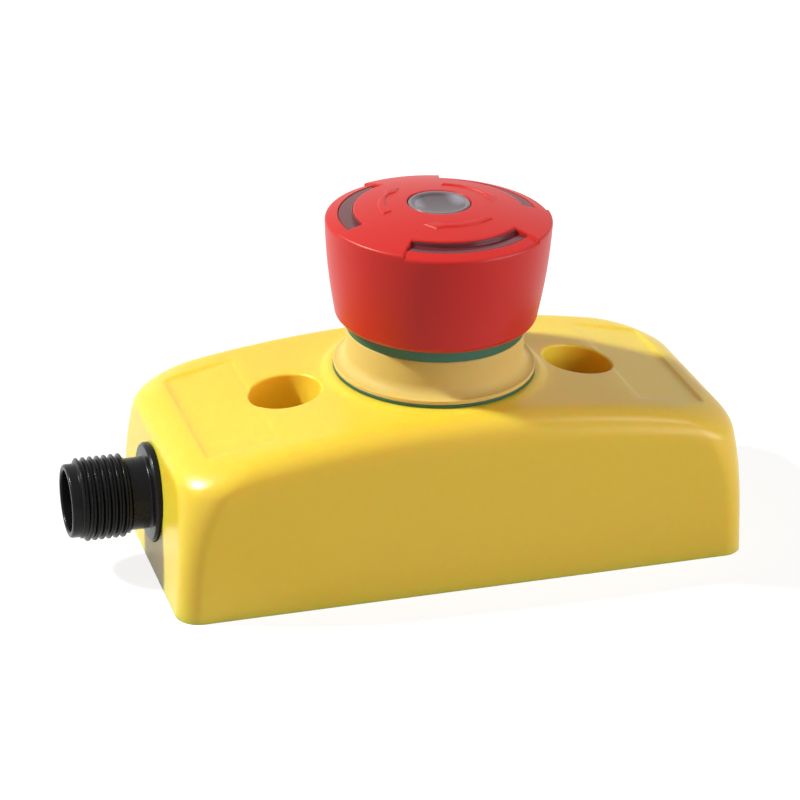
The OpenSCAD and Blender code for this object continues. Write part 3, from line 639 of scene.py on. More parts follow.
# The finish of every node that keeps its own mesh
NODE_FINISHES: dict[str, Finish] = {
    "base_plate": BLACK_MATTE, "base_seal": RUBBER, "collar_nut": ZINC, "stem_seal": RUBBER,
    "latch_block": WHITE, "latch_springs": SPRING, "contact_block": BLACK_MATTE, "fixed_contacts": BRASS,
    "circuit_board": BOARD, "board_components": CHIP, "board_screws": ZINC, "status_led": LED,
    "connector_seal": RUBBER, "connector_nut": NUT, "connector_leads": JACKET, "plunger": BLACK_MATTE,
    "light_pipe": PIPE, "bridge_carrier": WHITE, "contact_bridge_front": COPPER, "contact_bridge_back": COPPER,
    "latch_pin_left": PIN_STEEL, "latch_pin_right": PIN_STEEL, "cap_core": BLACK_MATTE, "retaining_ring": ZINC,
}


# Housing


@dataclass
class Housing:
    """The drafted, arched shell with its screw recesses, label recesses and inner hollow."""

    length: float = 84.0
    width: float = 40.0
    height: float = 25.8
    arch_r: float = 168.0
    end_draft: float = 2.5
    side_draft: float = 1.2
    end_round: float = 3.2
    side_round: float = 4.0
    corner_base_r: float = 3.3
    corner_top_r: float = 9.5
    corner_rise: int = 4
    corner_least_r: float = 0.9
    wall: float = 2.4
    # Screw holes
    hole_spacing: float = 44.0
    hole_r: float = 2.75
    head_r: float = 5.1
    head_floor: float = 8.0
    head_floor_round: float = 0.4
    hole_chamfer: float = 0.25
    rim_round: float = 0.35
    tube_r: float = 6.9
    tube_z: Point = (-3.0, 40.0)
    # Label recesses: a shallow step at the inner edge, a deeper and softer one at the outer
    label_x: float = 36.8
    label_l: float = 10.4
    label_w: float = 27.0
    label_corner: float = 1.0
    label_over: float = 0.1
    label_depth: float = 0.35
    label_lip: float = 0.09
    label_edge: float = 0.3
    label_step: float = 1.0
    # Seats of the collar, its nut and the base plate
    pad_r: float = 14.9
    pad_fillet: float = 1.6
    spigot_r: float = 8.1
    nut_seat_r: float = 12.15
    nut_seat_t: float = 2.0
    ledge_z: float = 2.0
    plate_ledge: float = 0.9
    plate_gap: float = 0.1
    plate_corner: float = 2.2
    # Steps of the mesh
    corner_steps: int = 22
    long_steps: int = 64
    end_steps: int = 18
    wall_steps: int = 16
    round_steps: int = 16
    rings_below_lid: int = 25
    hole_columns: int = 112
    pad_columns: int = 160
    lid_spacing: float = 1.15

    @property
    def hole_x(self) -> tuple[float, float]:
        """Places of the two screw holes."""
        return -self.hole_spacing / 2, self.hole_spacing / 2

    def arch_drop(self, x: float) -> float:
        """How far the arch lies below its crown at x."""
        return self.arch_r - math.sqrt(self.arch_r ** 2 - x * x)

    def draw_in(self, z: float, h: float, r: float) -> float:
        """How far a rounding of radius r has drawn in at height z below a top at h."""
        return r - math.sqrt(max(r * r - max(0.0, z - (h - r)) ** 2, 0.0))

    def plan(self, z: float, inset: float) -> tuple[float, float, float]:
        """Half length, half width and corner radius of the form's outline at height z.

        Args:
            z: Height before the arch lowers it.
            inset: Distance that every wall moves in.

        Returns:
            The half length, the half width and the radius.
        """
        h = self.height - inset
        a = self.length / 2 - inset - z * math.tan(math.radians(self.end_draft)) - self.draw_in(z, h, self.end_round)
        b = self.width / 2 - inset - z * math.tan(math.radians(self.side_draft)) - self.draw_in(z, h, self.side_round)
        grown = (self.corner_top_r - self.corner_base_r) * (z / h) ** self.corner_rise
        return a, b, max(self.corner_least_r, self.corner_base_r - inset + grown)

    def ring(self, z: float, inset: float = 0.0, fine: int = 1) -> list[Place]:
        """One ring of the form at height z.

        Args:
            z: Height before the arch lowers it.
            inset: Distance that every wall moves in.
            fine: Divider of the steps along the ring, for the hidden inside.

        Returns:
            The ring's points, counterclockwise from the front of the right end.
        """
        a, b, r = self.plan(z, inset)
        ends = self.end_steps if fine == 1 else 1
        flat = rounded_rectangle((a, b), r, self.corner_steps // fine, ends, self.long_steps // fine)
        h = self.height - inset
        return [(x, y, z - self.arch_drop(x) * z / h) for x, y in flat]

    def levels(self, inset: float, low: float, wall_steps: int, round_steps: int) -> list[float]:
        """Heights of the rings: even up the wall, then closer round the top edge.

        Args:
            inset: Distance that every wall moves in.
            low: The lowest ring's height.
            wall_steps: Steps up the wall.
            round_steps: Steps round the edge.

        Returns:
            The heights.
        """
        h = self.height - inset
        r = max(self.end_round, self.side_round)
        even = [low + (h - r - low) * i / wall_steps for i in range(wall_steps)]
        return even + [h - r + r * math.sin(math.pi / 2 * i / round_steps) for i in range(round_steps + 1)]

    def form_z(self, x: float, y: float) -> float:
        """Height of the bare form at a point, over the top and its rounded edge.

        Args:
            x: The point's place along the housing.
            y: The point's place across it.

        Returns:
            The height.
        """
        low, high = self.height - max(self.end_round, self.side_round), self.height

        def outside(z: float) -> bool:
            """Whether the point lies outside the form's outline at height z."""
            a, b, r = self.plan(z, 0.0)
            return rounded_gap(x, y, (a, b), r) > 0

        if outside(high):
            while high - low > 1e-12:
                middle = (low + high) / 2
                low, high = (low, middle) if outside(middle) else (middle, high)
        return high - self.arch_drop(x) * high / self.height

    def label_blend(self, x: float, y: float) -> float:
        """How far a point lies inside a label recess: 0 outside, 1 on its floor.

        Args:
            x: The point's place along the housing.
            y: The point's place across it.

        Returns:
            The share of the way down to the floor.
        """
        half = (self.label_l / 2 + self.label_over, self.label_w / 2)
        inside = -rounded_gap(abs(x) - (self.label_x - self.label_l / 2), y, half, self.label_corner)
        along = max(0.0, min(1.0, (abs(x) - self.label_x + self.label_l) / self.label_l))
        return smooth(inside / (self.label_edge + (self.label_step - self.label_edge) * along))

    def label_plane(self, x: float) -> float:
        """Height of the label recess's flat floor at a distance x from the middle.

        Args:
            x: The distance.

        Returns:
            The height.
        """
        inner, outer = self.label_x - self.label_l, self.label_x
        z_in = self.height - self.arch_drop(inner) - self.label_lip
        z_out = self.height - self.arch_drop(outer) - self.label_depth
        return z_in + (z_out - z_in) * (x - inner) / self.label_l

    def label_loop(self, side: int, inset: float) -> list[Point]:
        """The label recess's outline on one side, drawn in by a distance.

        Args:
            side: -1 for the left recess, 1 for the right one.
            inset: The distance.

        Returns:
            The outline's points.
        """
        half = (self.label_l / 2 + self.label_over - inset, self.label_w / 2 - inset)
        r = max(0.2, self.label_corner - inset)
        return rounded_rectangle(half, r, 6, 26, 12, side * (self.label_x - self.label_l / 2))

    def top_z(self, x: float, y: float) -> float:
        """Height of the top surface, with its pad, label recesses and rounded hole rims.

        Args:
            x: The point's place along the housing.
            y: The point's place across it.

        Returns:
            The height.
        """
        z = self.form_z(x, y)
        z -= max(0.0, z - self.label_plane(abs(x))) * self.label_blend(x, y)
        z += (self.height - z) * smooth(1 - (math.hypot(x, y) - self.pad_r) / self.pad_fillet)
        near = max(0.0, math.hypot(abs(x) - self.hole_spacing / 2, y) - self.head_r - SNAP)
        if near < self.rim_round:
            z -= self.rim_round - math.sqrt(self.rim_round ** 2 - (self.rim_round - near) ** 2)
        return z

    def triangulate(self, outline: list[Point], loops: list[list[Point]], hole_r: float,
                    spacing: float = 0.0) -> tuple[list[Point], list[list[int]], list[int]]:
        """Triangles of a flat region with constraint loops and the two screw holes.

        Args:
            outline: The region's edge, counterclockwise.
            loops: Further closed lines that the triangles follow.
            hole_r: Radius of the holes, whose edges are among the loops.
            spacing: Distance between the points that fill the region, or 0 for none.

        Returns:
            The points, the triangles, and for each point the number of the given point that it comes from, or -1.
        """
        points = [Vector(p) for p in outline]
        edges = [(i, (i + 1) % len(outline)) for i in range(len(outline))]
        for loop in loops:
            start = len(points)
            points += [Vector(p) for p in loop]
            edges += [(start + i, start + (i + 1) % len(loop)) for i in range(len(loop))]
        if spacing > 0:
            points += self.filling(points, spacing)
        found, _, faces, origins, *_ = delaunay_2d_cdt(points, edges, [list(range(len(outline)))], 1, MERGE)
        kept = []
        for face in faces:
            mx = sum(found[i].x for i in face) / len(face)
            my = sum(found[i].y for i in face) / len(face)
            if all(math.hypot(mx - x, my) > hole_r for x in self.hole_x):
                kept.append(list(face))
        return [(p.x, p.y) for p in found], kept, [min(o) if o else -1 for o in origins]

    def filling(self, fixed: list[Vector], spacing: float) -> list[Vector]:
        """Points of a triangular grid that keep clear of the fixed ones.

        Args:
            fixed: The points that are already there.
            spacing: Distance between points.

        Returns:
            The new points.
        """
        given = np.array([tuple(p) for p in fixed])
        xs, ys = given[:, 0], given[:, 1]
        clear = 0.55 * spacing
        rows = int((ys.max() - ys.min()) / (spacing * math.cos(math.radians(30))))
        count = int((xs.max() - xs.min()) / spacing)
        points = []
        for j in range(1, rows):
            y = ys.min() + (ys.max() - ys.min()) * j / rows
            for i in range(1, count):
                x = xs.min() + spacing * (i + 0.5 * (j % 2))
                if np.min((xs - x) ** 2 + (ys - y) ** 2) > clear ** 2:
                    points.append(Vector((x, y)))
        return points

    def skin(self) -> bpy.types.Object:
        """The closed outer form with its screw holes.

        Returns:
            The solid, before its hollow is cut.
        """
        rings = [self.ring(z) for z in self.levels(0.0, 0.0, self.wall_steps, self.round_steps)]
        rings, crest = rings[:self.rings_below_lid], rings[self.rings_below_lid:]
        n = len(rings[0])
        vertices = [p for ring in rings for p in ring]
        faces = walls(len(rings), n)
        rim_steps = [self.rim_round * (1 - math.cos(math.pi / 2 * i / 5)) for i in range(6)]
        loops = [circle(x, self.head_r + step, self.hole_columns) for x in self.hole_x for step in rim_steps]
        loops += [circle(0.0, self.pad_r + self.pad_fillet * i / 4, self.pad_columns) for i in range(5)]
        loops += [[(x, y) for x, y, _ in ring] for ring in crest]
        insets = [0.0, self.label_edge / 2, self.label_edge, 2 * self.label_edge, self.label_step]
        loops += [self.label_loop(side, inset) for side in (-1, 1) for inset in insets]
        outline = [(x, y) for x, y, _ in rings[-1]]
        top, lids, sources = self.triangulate(outline, loops, self.head_r, self.lid_spacing)
        start = len(vertices)
        vertices += [
            rings[-1][source] if 0 <= source < n else (x, y, self.top_z(x, y)) for (x, y), source in zip(top, sources)
        ]
        faces += [[start + i for i in face] for face in lids]
        rims = [self.rim_points(top, x) for x in self.hole_x]
        down = self.hole_r / self.head_r
        base_loops = [[(x + (px - x) * down, py * down) for px, py in rim] for x, rim in zip(self.hole_x, rims)]
        base, bottoms, _ = self.triangulate([(x, y) for x, y, _ in rings[0]], base_loops, self.hole_r)
        start = len(vertices)
        vertices += [(x, y, 0.0) for x, y in base]
        faces += [[start + i for i in face] for face in bottoms]
        for x, rim in zip(self.hole_x, rims):
            self.add_hole(vertices, faces, x, rim)
        return mesh_object("housing_shell", vertices, faces, 30.0)

    def rim_points(self, points: list[Point], x: float) -> list[Point]:
        """The top's points on the edge of one screw hole, with those where other lines cross it.

        Args:
            points: The top's points.
            x: The hole's place along the housing.

        Returns:
            The edge's points, counterclockwise.
        """
        chord = self.head_r * math.cos(math.pi / self.hole_columns)
        edge = [p for p in points if chord - SNAP < math.hypot(p[0] - x, p[1]) < self.head_r + SNAP]
        return sorted(edge, key=lambda p: math.atan2(p[1], p[0] - x))

    def add_hole(self, vertices: list[Place], faces: list[list[int]], x: float, rim: list[Point]) -> None:
        """Adds one stepped screw hole's walls between the top and the base.

        Args:
            vertices: The skin's vertices, which grow.
            faces: The skin's faces, which grow.
            x: The hole's place along the housing.
            rim: Points of the hole's edge on the top.
        """
        bend, bevel = self.head_floor_round, self.hole_chamfer
        rows: list[tuple[float, float | None]] = [(self.head_r, None), (self.head_r, self.head_floor + bend)]
        for i in range(1, 6):
            t = math.pi / 2 * i / 5
            rows.append((self.head_r - bend * (1 - math.cos(t)), self.head_floor + bend * (1 - math.sin(t))))
        rows += [(self.hole_r + bevel, self.head_floor), (self.hole_r, self.head_floor - bevel), (self.hole_r, 0.0)]
        faces += walls(len(rows), len(rim), len(vertices))
        for r, z in rows:
            scale = r / self.head_r
            vertices += [
                (x + (px - x) * scale, py * scale, self.top_z(px, py) if z is None else z) for px, py in rim
            ]

    def hollow(self) -> list[bpy.types.Object]:
        """Cutters for the inner hollow, the base plate's pocket, the collar and its nut.

        Returns:
            The cutters.
        """
        rings = [self.ring(z, self.wall, 2) for z in self.levels(self.wall, self.ledge_z - 0.5, 4, 6)]
        n = len(rings[0])
        faces = walls(len(rings), n) + self.strip_lid(rings[-1], (len(rings) - 1) * n) + [list(range(n))]
        room = mesh_object("room", [p for ring in rings for p in ring], faces)
        grown = self.plate_ledge - self.wall + self.plate_gap
        a = self.length / 2 + grown - self.ledge_z * math.tan(math.radians(self.end_draft))
        b = self.width / 2 + grown - self.ledge_z * math.tan(math.radians(self.side_draft))
        pocket = prism("pocket", rounded_rectangle((a, b), self.plate_corner), -1.0, self.ledge_z)
        for cutter in (room, pocket):
            subtract(cutter, [prism("tube", circle(x, self.tube_r, 96), *self.tube_z) for x in self.hole_x])
        bore = prism("spigot_bore", circle(0.0, self.spigot_r, 160), self.height - 6.0, self.height + 4.0)
        seat_z = self.height - self.wall
        seat = prism("nut_seat", circle(0.0, self.nut_seat_r, 128), seat_z - self.nut_seat_t, seat_z)
        return [room, pocket, bore, seat]

    def strip_lid(self, ring: list[Place], start: int) -> list[list[int]]:
        """Faces that close a ring that mirrors itself front to back, strip by strip along its length.

        Args:
            ring: The ring's points.
            start: Number of its first vertex.

        Returns:
            The faces.
        """
        n = len(ring)
        pairs = {
            i: min(range(n), key=lambda j: abs(ring[j][0] - ring[i][0]) + abs(ring[j][1] + ring[i][1]))
            for i in range(n) if ring[i][1] < 0
        }
        front = sorted(pairs, key=lambda i: ring[i][0])
        strips = [list(dict.fromkeys([p, q, pairs[q], pairs[p]])) for p, q in zip(front, front[1:])]
        return [[start + i for i in strip] for strip in strips if len(strip) > 2]

    def build(self, connector: "Connector") -> bpy.types.Object:
        """Makes the shell and dresses it.

        Args:
            connector: The connector whose seat is cut in the end wall.

        Returns:
            The housing.
        """
        shell = self.skin()
        subtract(shell, self.hollow() + connector.seat_cutters())
        finish_cut(shell)
        return place(shell, Body.ENCLOSURE, "housing", YELLOW)


# Connector


@dataclass
class Connector:
    """The round threaded connector: shell, thread, insert and contact pins."""

    axis_z: float = 10.9
    seat_x: float = -41.2741
    length: float = 12.35
    flange_r: float = 7.05
    flange_t: float = 1.0
    neck_r: float = 5.1
    neck_l: float = 2.7
    thread_r: float = 5.9
    thread_depth: float = 0.46
    pitch: float = 1.0
    lead_r: float = 5.2
    lead_l: float = 1.5
    bore_r: float = 4.35
    socket_depth: float = 8.6
    pin_recess: float = 2.0
    pin_r: float = 0.5
    pin_circle_r: float = 2.45
    inner_l: float = 6.8
    nut_clear_r: float = 8.4
    wall_t: float = 1.85
    nut_h: float = 2.8
    seal_t: float = 0.5
    seat_gap: float = 0.1
    flange_gap: float = 0.15
    seal_gap: float = 0.65
    nut_gap: float = 0.3
    cutter_past: float = 2.0
    key_half: float = 0.55
    key_from: float = 1.2
    key_bevel: Point = (0.12, 0.1)

    @property
    def mouth_x(self) -> float:
        """The mouth's place."""
        return self.seat_x - self.length

    @property
    def back_x(self) -> float:
        """The inner end's place."""
        return self.seat_x + self.inner_l

    def along_x(self, name: str, r: float, x0: float, x1: float) -> bpy.types.Object:
        """A closed cylinder on the connector's axis."""
        return turn_to_x(revolve(name, [(0, x0), (r, x0), (r, x1), (0, x1)], 128, closed=False), self.axis_z)

    def seat_cutters(self) -> list[bpy.types.Object]:
        """Cutters for the connector's hole and seats in the end wall.

        Returns:
            The cutters.
        """
        wall_x, past = self.seat_x + self.wall_t, self.cutter_past
        return [
            self.along_x("bore", self.thread_r + self.seat_gap, self.seat_x - past, wall_x + past),
            self.along_x("flange_seat", self.flange_r + self.flange_gap, self.seat_x - past, self.seat_x),
            self.along_x("seal_seat", self.thread_r + self.seal_gap, self.seat_x - past / 2, self.seat_x + self.seal_t),
            self.along_x("nut_room", self.nut_clear_r, wall_x, wall_x + self.nut_h + self.nut_gap),
        ]

    def shell(self) -> bpy.types.Object:
        """The turned shell: lip, thread root, neck and flange outside, a plain spigot inside.

        Returns:
            The piece.
        """
        root = self.thread_r - self.thread_depth
        neck_x = self.seat_x - self.flange_t - self.neck_l
        thread_x = self.mouth_x + self.lead_l
        profile = rounded([
            Corner(self.bore_r, self.mouth_x, 0.3),
            Corner(self.lead_r, self.mouth_x, 0.35),
            Corner(self.lead_r, thread_x - 0.1, 0.08),
            Corner(root, thread_x + 0.15, 0.1),
            Corner(root, neck_x - 0.35, 0.15),
            Corner(self.neck_r, neck_x - 0.05, 0.1),
            Corner(self.neck_r, neck_x + self.neck_l - 0.02, 0.35),
            Corner(self.flange_r - 0.3, neck_x + self.neck_l, 0.12),
            Corner(self.flange_r, neck_x + self.neck_l + 0.35, 0.2),
            Corner(self.flange_r, self.seat_x),
            Corner(self.thread_r, self.seat_x),
            Corner(self.thread_r, self.back_x, 0.2),
            Corner(self.bore_r, self.back_x, 0.1),
        ])
        return turn_to_x(revolve("connector_shell", profile, 160, sharp=34.0), self.axis_z)

    def thread(self) -> bpy.types.Object:
        """The thread's crest, swept along its helix by geometry nodes, with a run-out at both ends.

        Returns:
            The piece.
        """
        start = self.mouth_x + self.lead_l - 0.15
        end = self.seat_x - self.flange_t - self.neck_l - 0.1
        turns = (end - start) / self.pitch
        piece = ThreadTree().make(
            "connector_thread", radius=(self.thread_r - self.thread_depth) * MM, pitch=self.pitch * MM,
            turns=turns, depth=self.thread_depth * MM, finish=BLACK_SATIN.material(),
        )
        shift = Matrix.Translation(Vector((0, 0, start * MM)))
        piece.data.transform(shift)
        return turn_to_x(piece, self.axis_z)

    def pins(self) -> bpy.types.Object:
        """Five contact pins, one turned pin set out by geometry nodes.

        Returns:
            All pins as one piece.
        """
        length = self.back_x + 1.0 - self.mouth_x - self.pin_recess
        pin = revolve("pin_pattern", rounded([
            Corner(0, 0), Corner(self.pin_r * 0.62, 0, 0.12), Corner(self.pin_r, 0.55, 0.25),
            Corner(self.pin_r, length), Corner(0, length),
        ], closed=False), 32, closed=False)
        piece = RingTree().make(
            "contact_pins", pin, count=4, radius=self.pin_circle_r * MM, first=math.radians(45), centre=True,
            finish=GOLD.material(),
        )
        piece.data.transform(Matrix.Translation(Vector((0, 0, (self.mouth_x + self.pin_recess) * MM))))
        return turn_to_x(piece, self.axis_z)

    def insert(self) -> bpy.types.Object:
        """The insulating insert, with a rounded front edge.

        Returns:
            The piece.
        """
        face_x = self.mouth_x + self.socket_depth
        profile = rounded([
            Corner(0, face_x), Corner(self.bore_r, face_x, 0.25), Corner(self.bore_r, self.back_x),
            Corner(0, self.back_x),
        ], closed=False)
        return turn_to_x(revolve("connector_core", profile, 96, closed=False), self.axis_z)

    def key(self) -> bpy.types.Object:
        """The moulded key along the top of the socket's bore.

        Returns:
            The piece.
        """
        half, low, high = self.key_half, self.bore_r - self.key_half, self.bore_r + 0.1
        across, down = self.key_bevel
        ends = (self.mouth_x + self.key_from, self.mouth_x + self.socket_depth + 0.2)
        section = [(-half, low), (-half + across, low - down), (half - across, low - down), (half, low),
                   (half, high), (-half, high)]
        n = len(section)
        vertices = [(x, y, self.axis_z + z) for x in ends for y, z in section]
        return mesh_object("connector_key", vertices, walls(2, n) + [list(range(n)), list(range(n, 2 * n))])

    def build(self) -> None:
        """Makes and dresses the connector's pieces."""
        place(self.shell(), Body.ENCLOSURE, "connector_body", BLACK_SATIN)
        place(self.thread(), Body.ENCLOSURE, "", BLACK_SATIN)
        place(self.key(), Body.ENCLOSURE, "", BLACK_SATIN)
        place(self.insert(), Body.ENCLOSURE, "connector_insert", BLACK_MATTE)
        place(self.pins(), Body.ENCLOSURE, "connector_pins", GOLD)


# Geometry node trees


class TreeMaker:
    """A geometry node tree with named inputs, run once on a piece and then taken off."""

    name = "tree"

    def new_tree(self, inputs: dict[str, str]) -> bpy.types.NodeTree:
        """An empty tree that takes and gives geometry.

        Args:
            inputs: Its further inputs by name, each with its socket's type.

        Returns:
            The tree.
        """
        tree = bpy.data.node_groups.new(self.name, "GeometryNodeTree")
        tree.interface.new_socket(name="Geometry", in_out="INPUT", socket_type="NodeSocketGeometry")
        tree.interface.new_socket(name="Geometry", in_out="OUTPUT", socket_type="NodeSocketGeometry")
        for name, kind in inputs.items():
            tree.interface.new_socket(name=name, in_out="INPUT", socket_type=f"NodeSocket{kind}")
        return tree

    def close(self, nodes: Nodes, result: bpy.types.NodeSocket, material: bpy.types.NodeSocket) -> None:
        """Ends the tree in Realize Instances and Set Material.

        Args:
            nodes: The tree's helper.
            result: The geometry.
            material: Its material.
        """
        real = nodes.add("GeometryNodeRealizeInstances", values={"Geometry": result})
        dressed = nodes.add("GeometryNodeSetMaterial", values={"Geometry": real.outputs[0], "Material": material})
        nodes.add("NodeGroupOutput", values={"Geometry": dressed.outputs[0]})

    def run(self, name: str, tree: bpy.types.NodeTree, values: dict[str, object], sharp: float) -> bpy.types.Object:
        """Runs the tree with its inputs and keeps the result as a plain mesh.

        Args:
            name: The piece's name.
            tree: The tree.
            values: Its inputs by name.
            sharp: Angle in degrees past which an edge stays sharp.

        Returns:
            The piece.
        """
        host = bpy.data.objects.new(name + "_host", bpy.data.meshes.new(name + "_host"))
        bpy.context.scene.collection.objects.link(host)
        modifier = host.modifiers.new(self.name, "NODES")
        modifier.node_group = tree
        ids = {item.name: item.identifier for item in tree.interface.items_tree if item.in_out == "INPUT"}
        for key, value in values.items():
            modifier[ids[key]] = value
        evaluated = host.evaluated_get(bpy.context.evaluated_depsgraph_get())
        mesh = bpy.data.meshes.new_from_object(evaluated)
        host.modifiers.remove(modifier)
        bpy.data.objects.remove(host)
        mesh.name = name
        merge(mesh, outward=True)
        return smooth_object(name, mesh, sharp)


class ThreadTree(TreeMaker):
    """Sweeps a thread's crest along a helix; the crest shrinks to nothing over its first and last part turn."""

    name = "thread_crest"
    sunk = 0.12  # share of the depth that lies below the root
    foot = 0.86  # width at the foot, in pitches
    crest = 0.20  # width at the crest, in pitches
    softness = 0.2  # rounding of the section, in depths
    run_out = 0.45  # turns over which the crest rises

    def make(self, name: str, radius: float, pitch: float, turns: float, depth: float,
             finish: bpy.types.Material) -> bpy.types.Object:
        """Makes the crest.

        Args:
            name: The piece's name.
            radius: Radius of the thread's root, in metres.
            pitch: Rise for each turn, in metres.
            turns: Number of turns.
            depth: Height of the crest above the root, in metres.
            finish: The crest's material.

        Returns:
            The thread's crest along Z, from z = 0.
        """
        tree = self.new_tree({
            **dict.fromkeys(("Radius", "Pitch", "Turns", "Depth", "Run Out"), "Float"), "Material": "Material",
        })
        nodes = Nodes(tree)
        given = nodes.add("NodeGroupInput").outputs
        sink = nodes.maths("MULTIPLY", given["Depth"], self.sunk)
        high = nodes.maths("ADD", given["Depth"], sink)
        on_root = nodes.maths("SUBTRACT", given["Radius"], sink)
        helix = nodes.add("GeometryNodeCurveSpiral", values={
            "Resolution": 72, "Rotations": given["Turns"], "Start Radius": on_root, "End Radius": on_root,
            "Height": nodes.maths("MULTIPLY", given["Pitch"], given["Turns"]),
        })
        upright = nodes.add("GeometryNodeSetCurveNormal", {"mode": "Z_UP"}, {"Curve": helix.outputs[0]})
        along = nodes.add("GeometryNodeSplineParameter").outputs["Factor"]
        turned = nodes.maths("MULTIPLY", along, given["Turns"])
        nearest = nodes.maths("MINIMUM", turned, nodes.maths("SUBTRACT", given["Turns"], turned))
        full = nodes.ramp(nearest, 0.0, given["Run Out"], 0.02)
        sized = nodes.add("GeometryNodeSetCurveRadius", values={"Curve": upright.outputs[0], "Radius": full})
        section = nodes.add("GeometryNodeCurvePrimitiveQuadrilateral", {"mode": "TRAPEZOID"}, {
            "Height": high, "Bottom Width": nodes.maths("MULTIPLY", given["Pitch"], self.foot),
            "Top Width": nodes.maths("MULTIPLY", given["Pitch"], self.crest), "Offset": 0.0,
        })
        soft = nodes.add("GeometryNodeFilletCurve", {"mode": "POLY"}, {
            "Curve": section.outputs[0], "Radius": nodes.maths("MULTIPLY", given["Depth"], self.softness), "Count": 4,
            "Limit Radius": True,
        })
        lift = nodes.add("ShaderNodeCombineXYZ", values={"Y": nodes.maths("MULTIPLY", high, 0.5)})
        raised = nodes.add("GeometryNodeTransform", values={
            "Geometry": soft.outputs[0], "Translation": lift.outputs[0],
        })
        turned_out = nodes.add("GeometryNodeTransform", values={
            "Geometry": raised.outputs[0], "Rotation": (0.0, 0.0, math.pi / 2),
        })
        swept = nodes.add("GeometryNodeCurveToMesh", values={
            "Curve": sized.outputs[0], "Profile Curve": turned_out.outputs[0], "Fill Caps": True,
            "Scale": nodes.add("GeometryNodeInputRadius").outputs[0],
        })
        self.close(nodes, swept.outputs[0], given["Material"])
        return self.run(name, tree, {
            "Radius": radius, "Pitch": pitch, "Turns": turns, "Depth": depth, "Run Out": self.run_out,
            "Material": finish,
        }, 40.0)


class RingTree(TreeMaker):
    """Sets copies of one pattern piece out on a circle, and one more at its centre if asked."""

    name = "ring_of_copies"

    def make(self, name: str, pattern: bpy.types.Object, count: int, radius: float, first: float, centre: bool,
             finish: bpy.types.Material, sharp: float = 38.0) -> bpy.types.Object:
        """Makes the copies and removes the pattern.

        Args:
            name: The piece's name.
            pattern: The piece that is copied.
            count: Number of copies on the circle.
            radius: Radius of the circle, in metres.
            first: Angle of the first copy, in radians.
            centre: Whether one more copy stands at the centre.
            finish: The copies' material.
            sharp: Angle in degrees past which an edge stays sharp.

        Returns:
            All copies as one piece.
        """
        tree = self.new_tree({
            "Count": "Int", "Radius": "Float", "First Angle": "Float", "Centre Count": "Int", "Pattern": "Object",
            "Material": "Material",
        })
        nodes = Nodes(tree)
        given = nodes.add("NodeGroupInput").outputs
        points = nodes.add("GeometryNodePoints", values={"Count": given["Count"]}).outputs[0]
        index = nodes.add("GeometryNodeInputIndex").outputs[0]
        step = nodes.maths("DIVIDE", 2 * math.pi, given["Count"])
        angle = nodes.maths("ADD", nodes.maths("MULTIPLY", index, step), given["First Angle"])
        where = nodes.add("ShaderNodeCombineXYZ", values={
            "X": nodes.maths("MULTIPLY", nodes.maths("COSINE", angle), given["Radius"]),
            "Y": nodes.maths("MULTIPLY", nodes.maths("SINE", angle), given["Radius"]),
        })
        placed = nodes.add("GeometryNodeSetPosition", values={"Geometry": points, "Position": where.outputs[0]})
        turn = nodes.add("ShaderNodeCombineXYZ", values={"Z": angle})
        shape = nodes.add("GeometryNodeObjectInfo", values={"Object": given["Pattern"]}).outputs["Geometry"]
        copies = nodes.add("GeometryNodeInstanceOnPoints", values={
            "Points": placed.outputs[0], "Instance": shape, "Rotation": turn.outputs[0],
        })
        middle = nodes.add("GeometryNodePoints", values={"Count": given["Centre Count"]}).outputs[0]
        one = nodes.add("GeometryNodeInstanceOnPoints", values={"Points": middle, "Instance": shape})
        both = nodes.add("GeometryNodeJoinGeometry")
        tree.links.new(copies.outputs[0], both.inputs[0])
        tree.links.new(one.outputs[0], both.inputs[0])
        self.close(nodes, both.outputs[0], given["Material"])
        piece = self.run(name, tree, {
            "Count": count, "Radius": radius, "First Angle": first, "Centre Count": int(centre),
            "Pattern": pattern, "Material": finish,
        }, sharp)
        bpy.data.objects.remove(pattern)
        return piece


# Collar and indicator ring


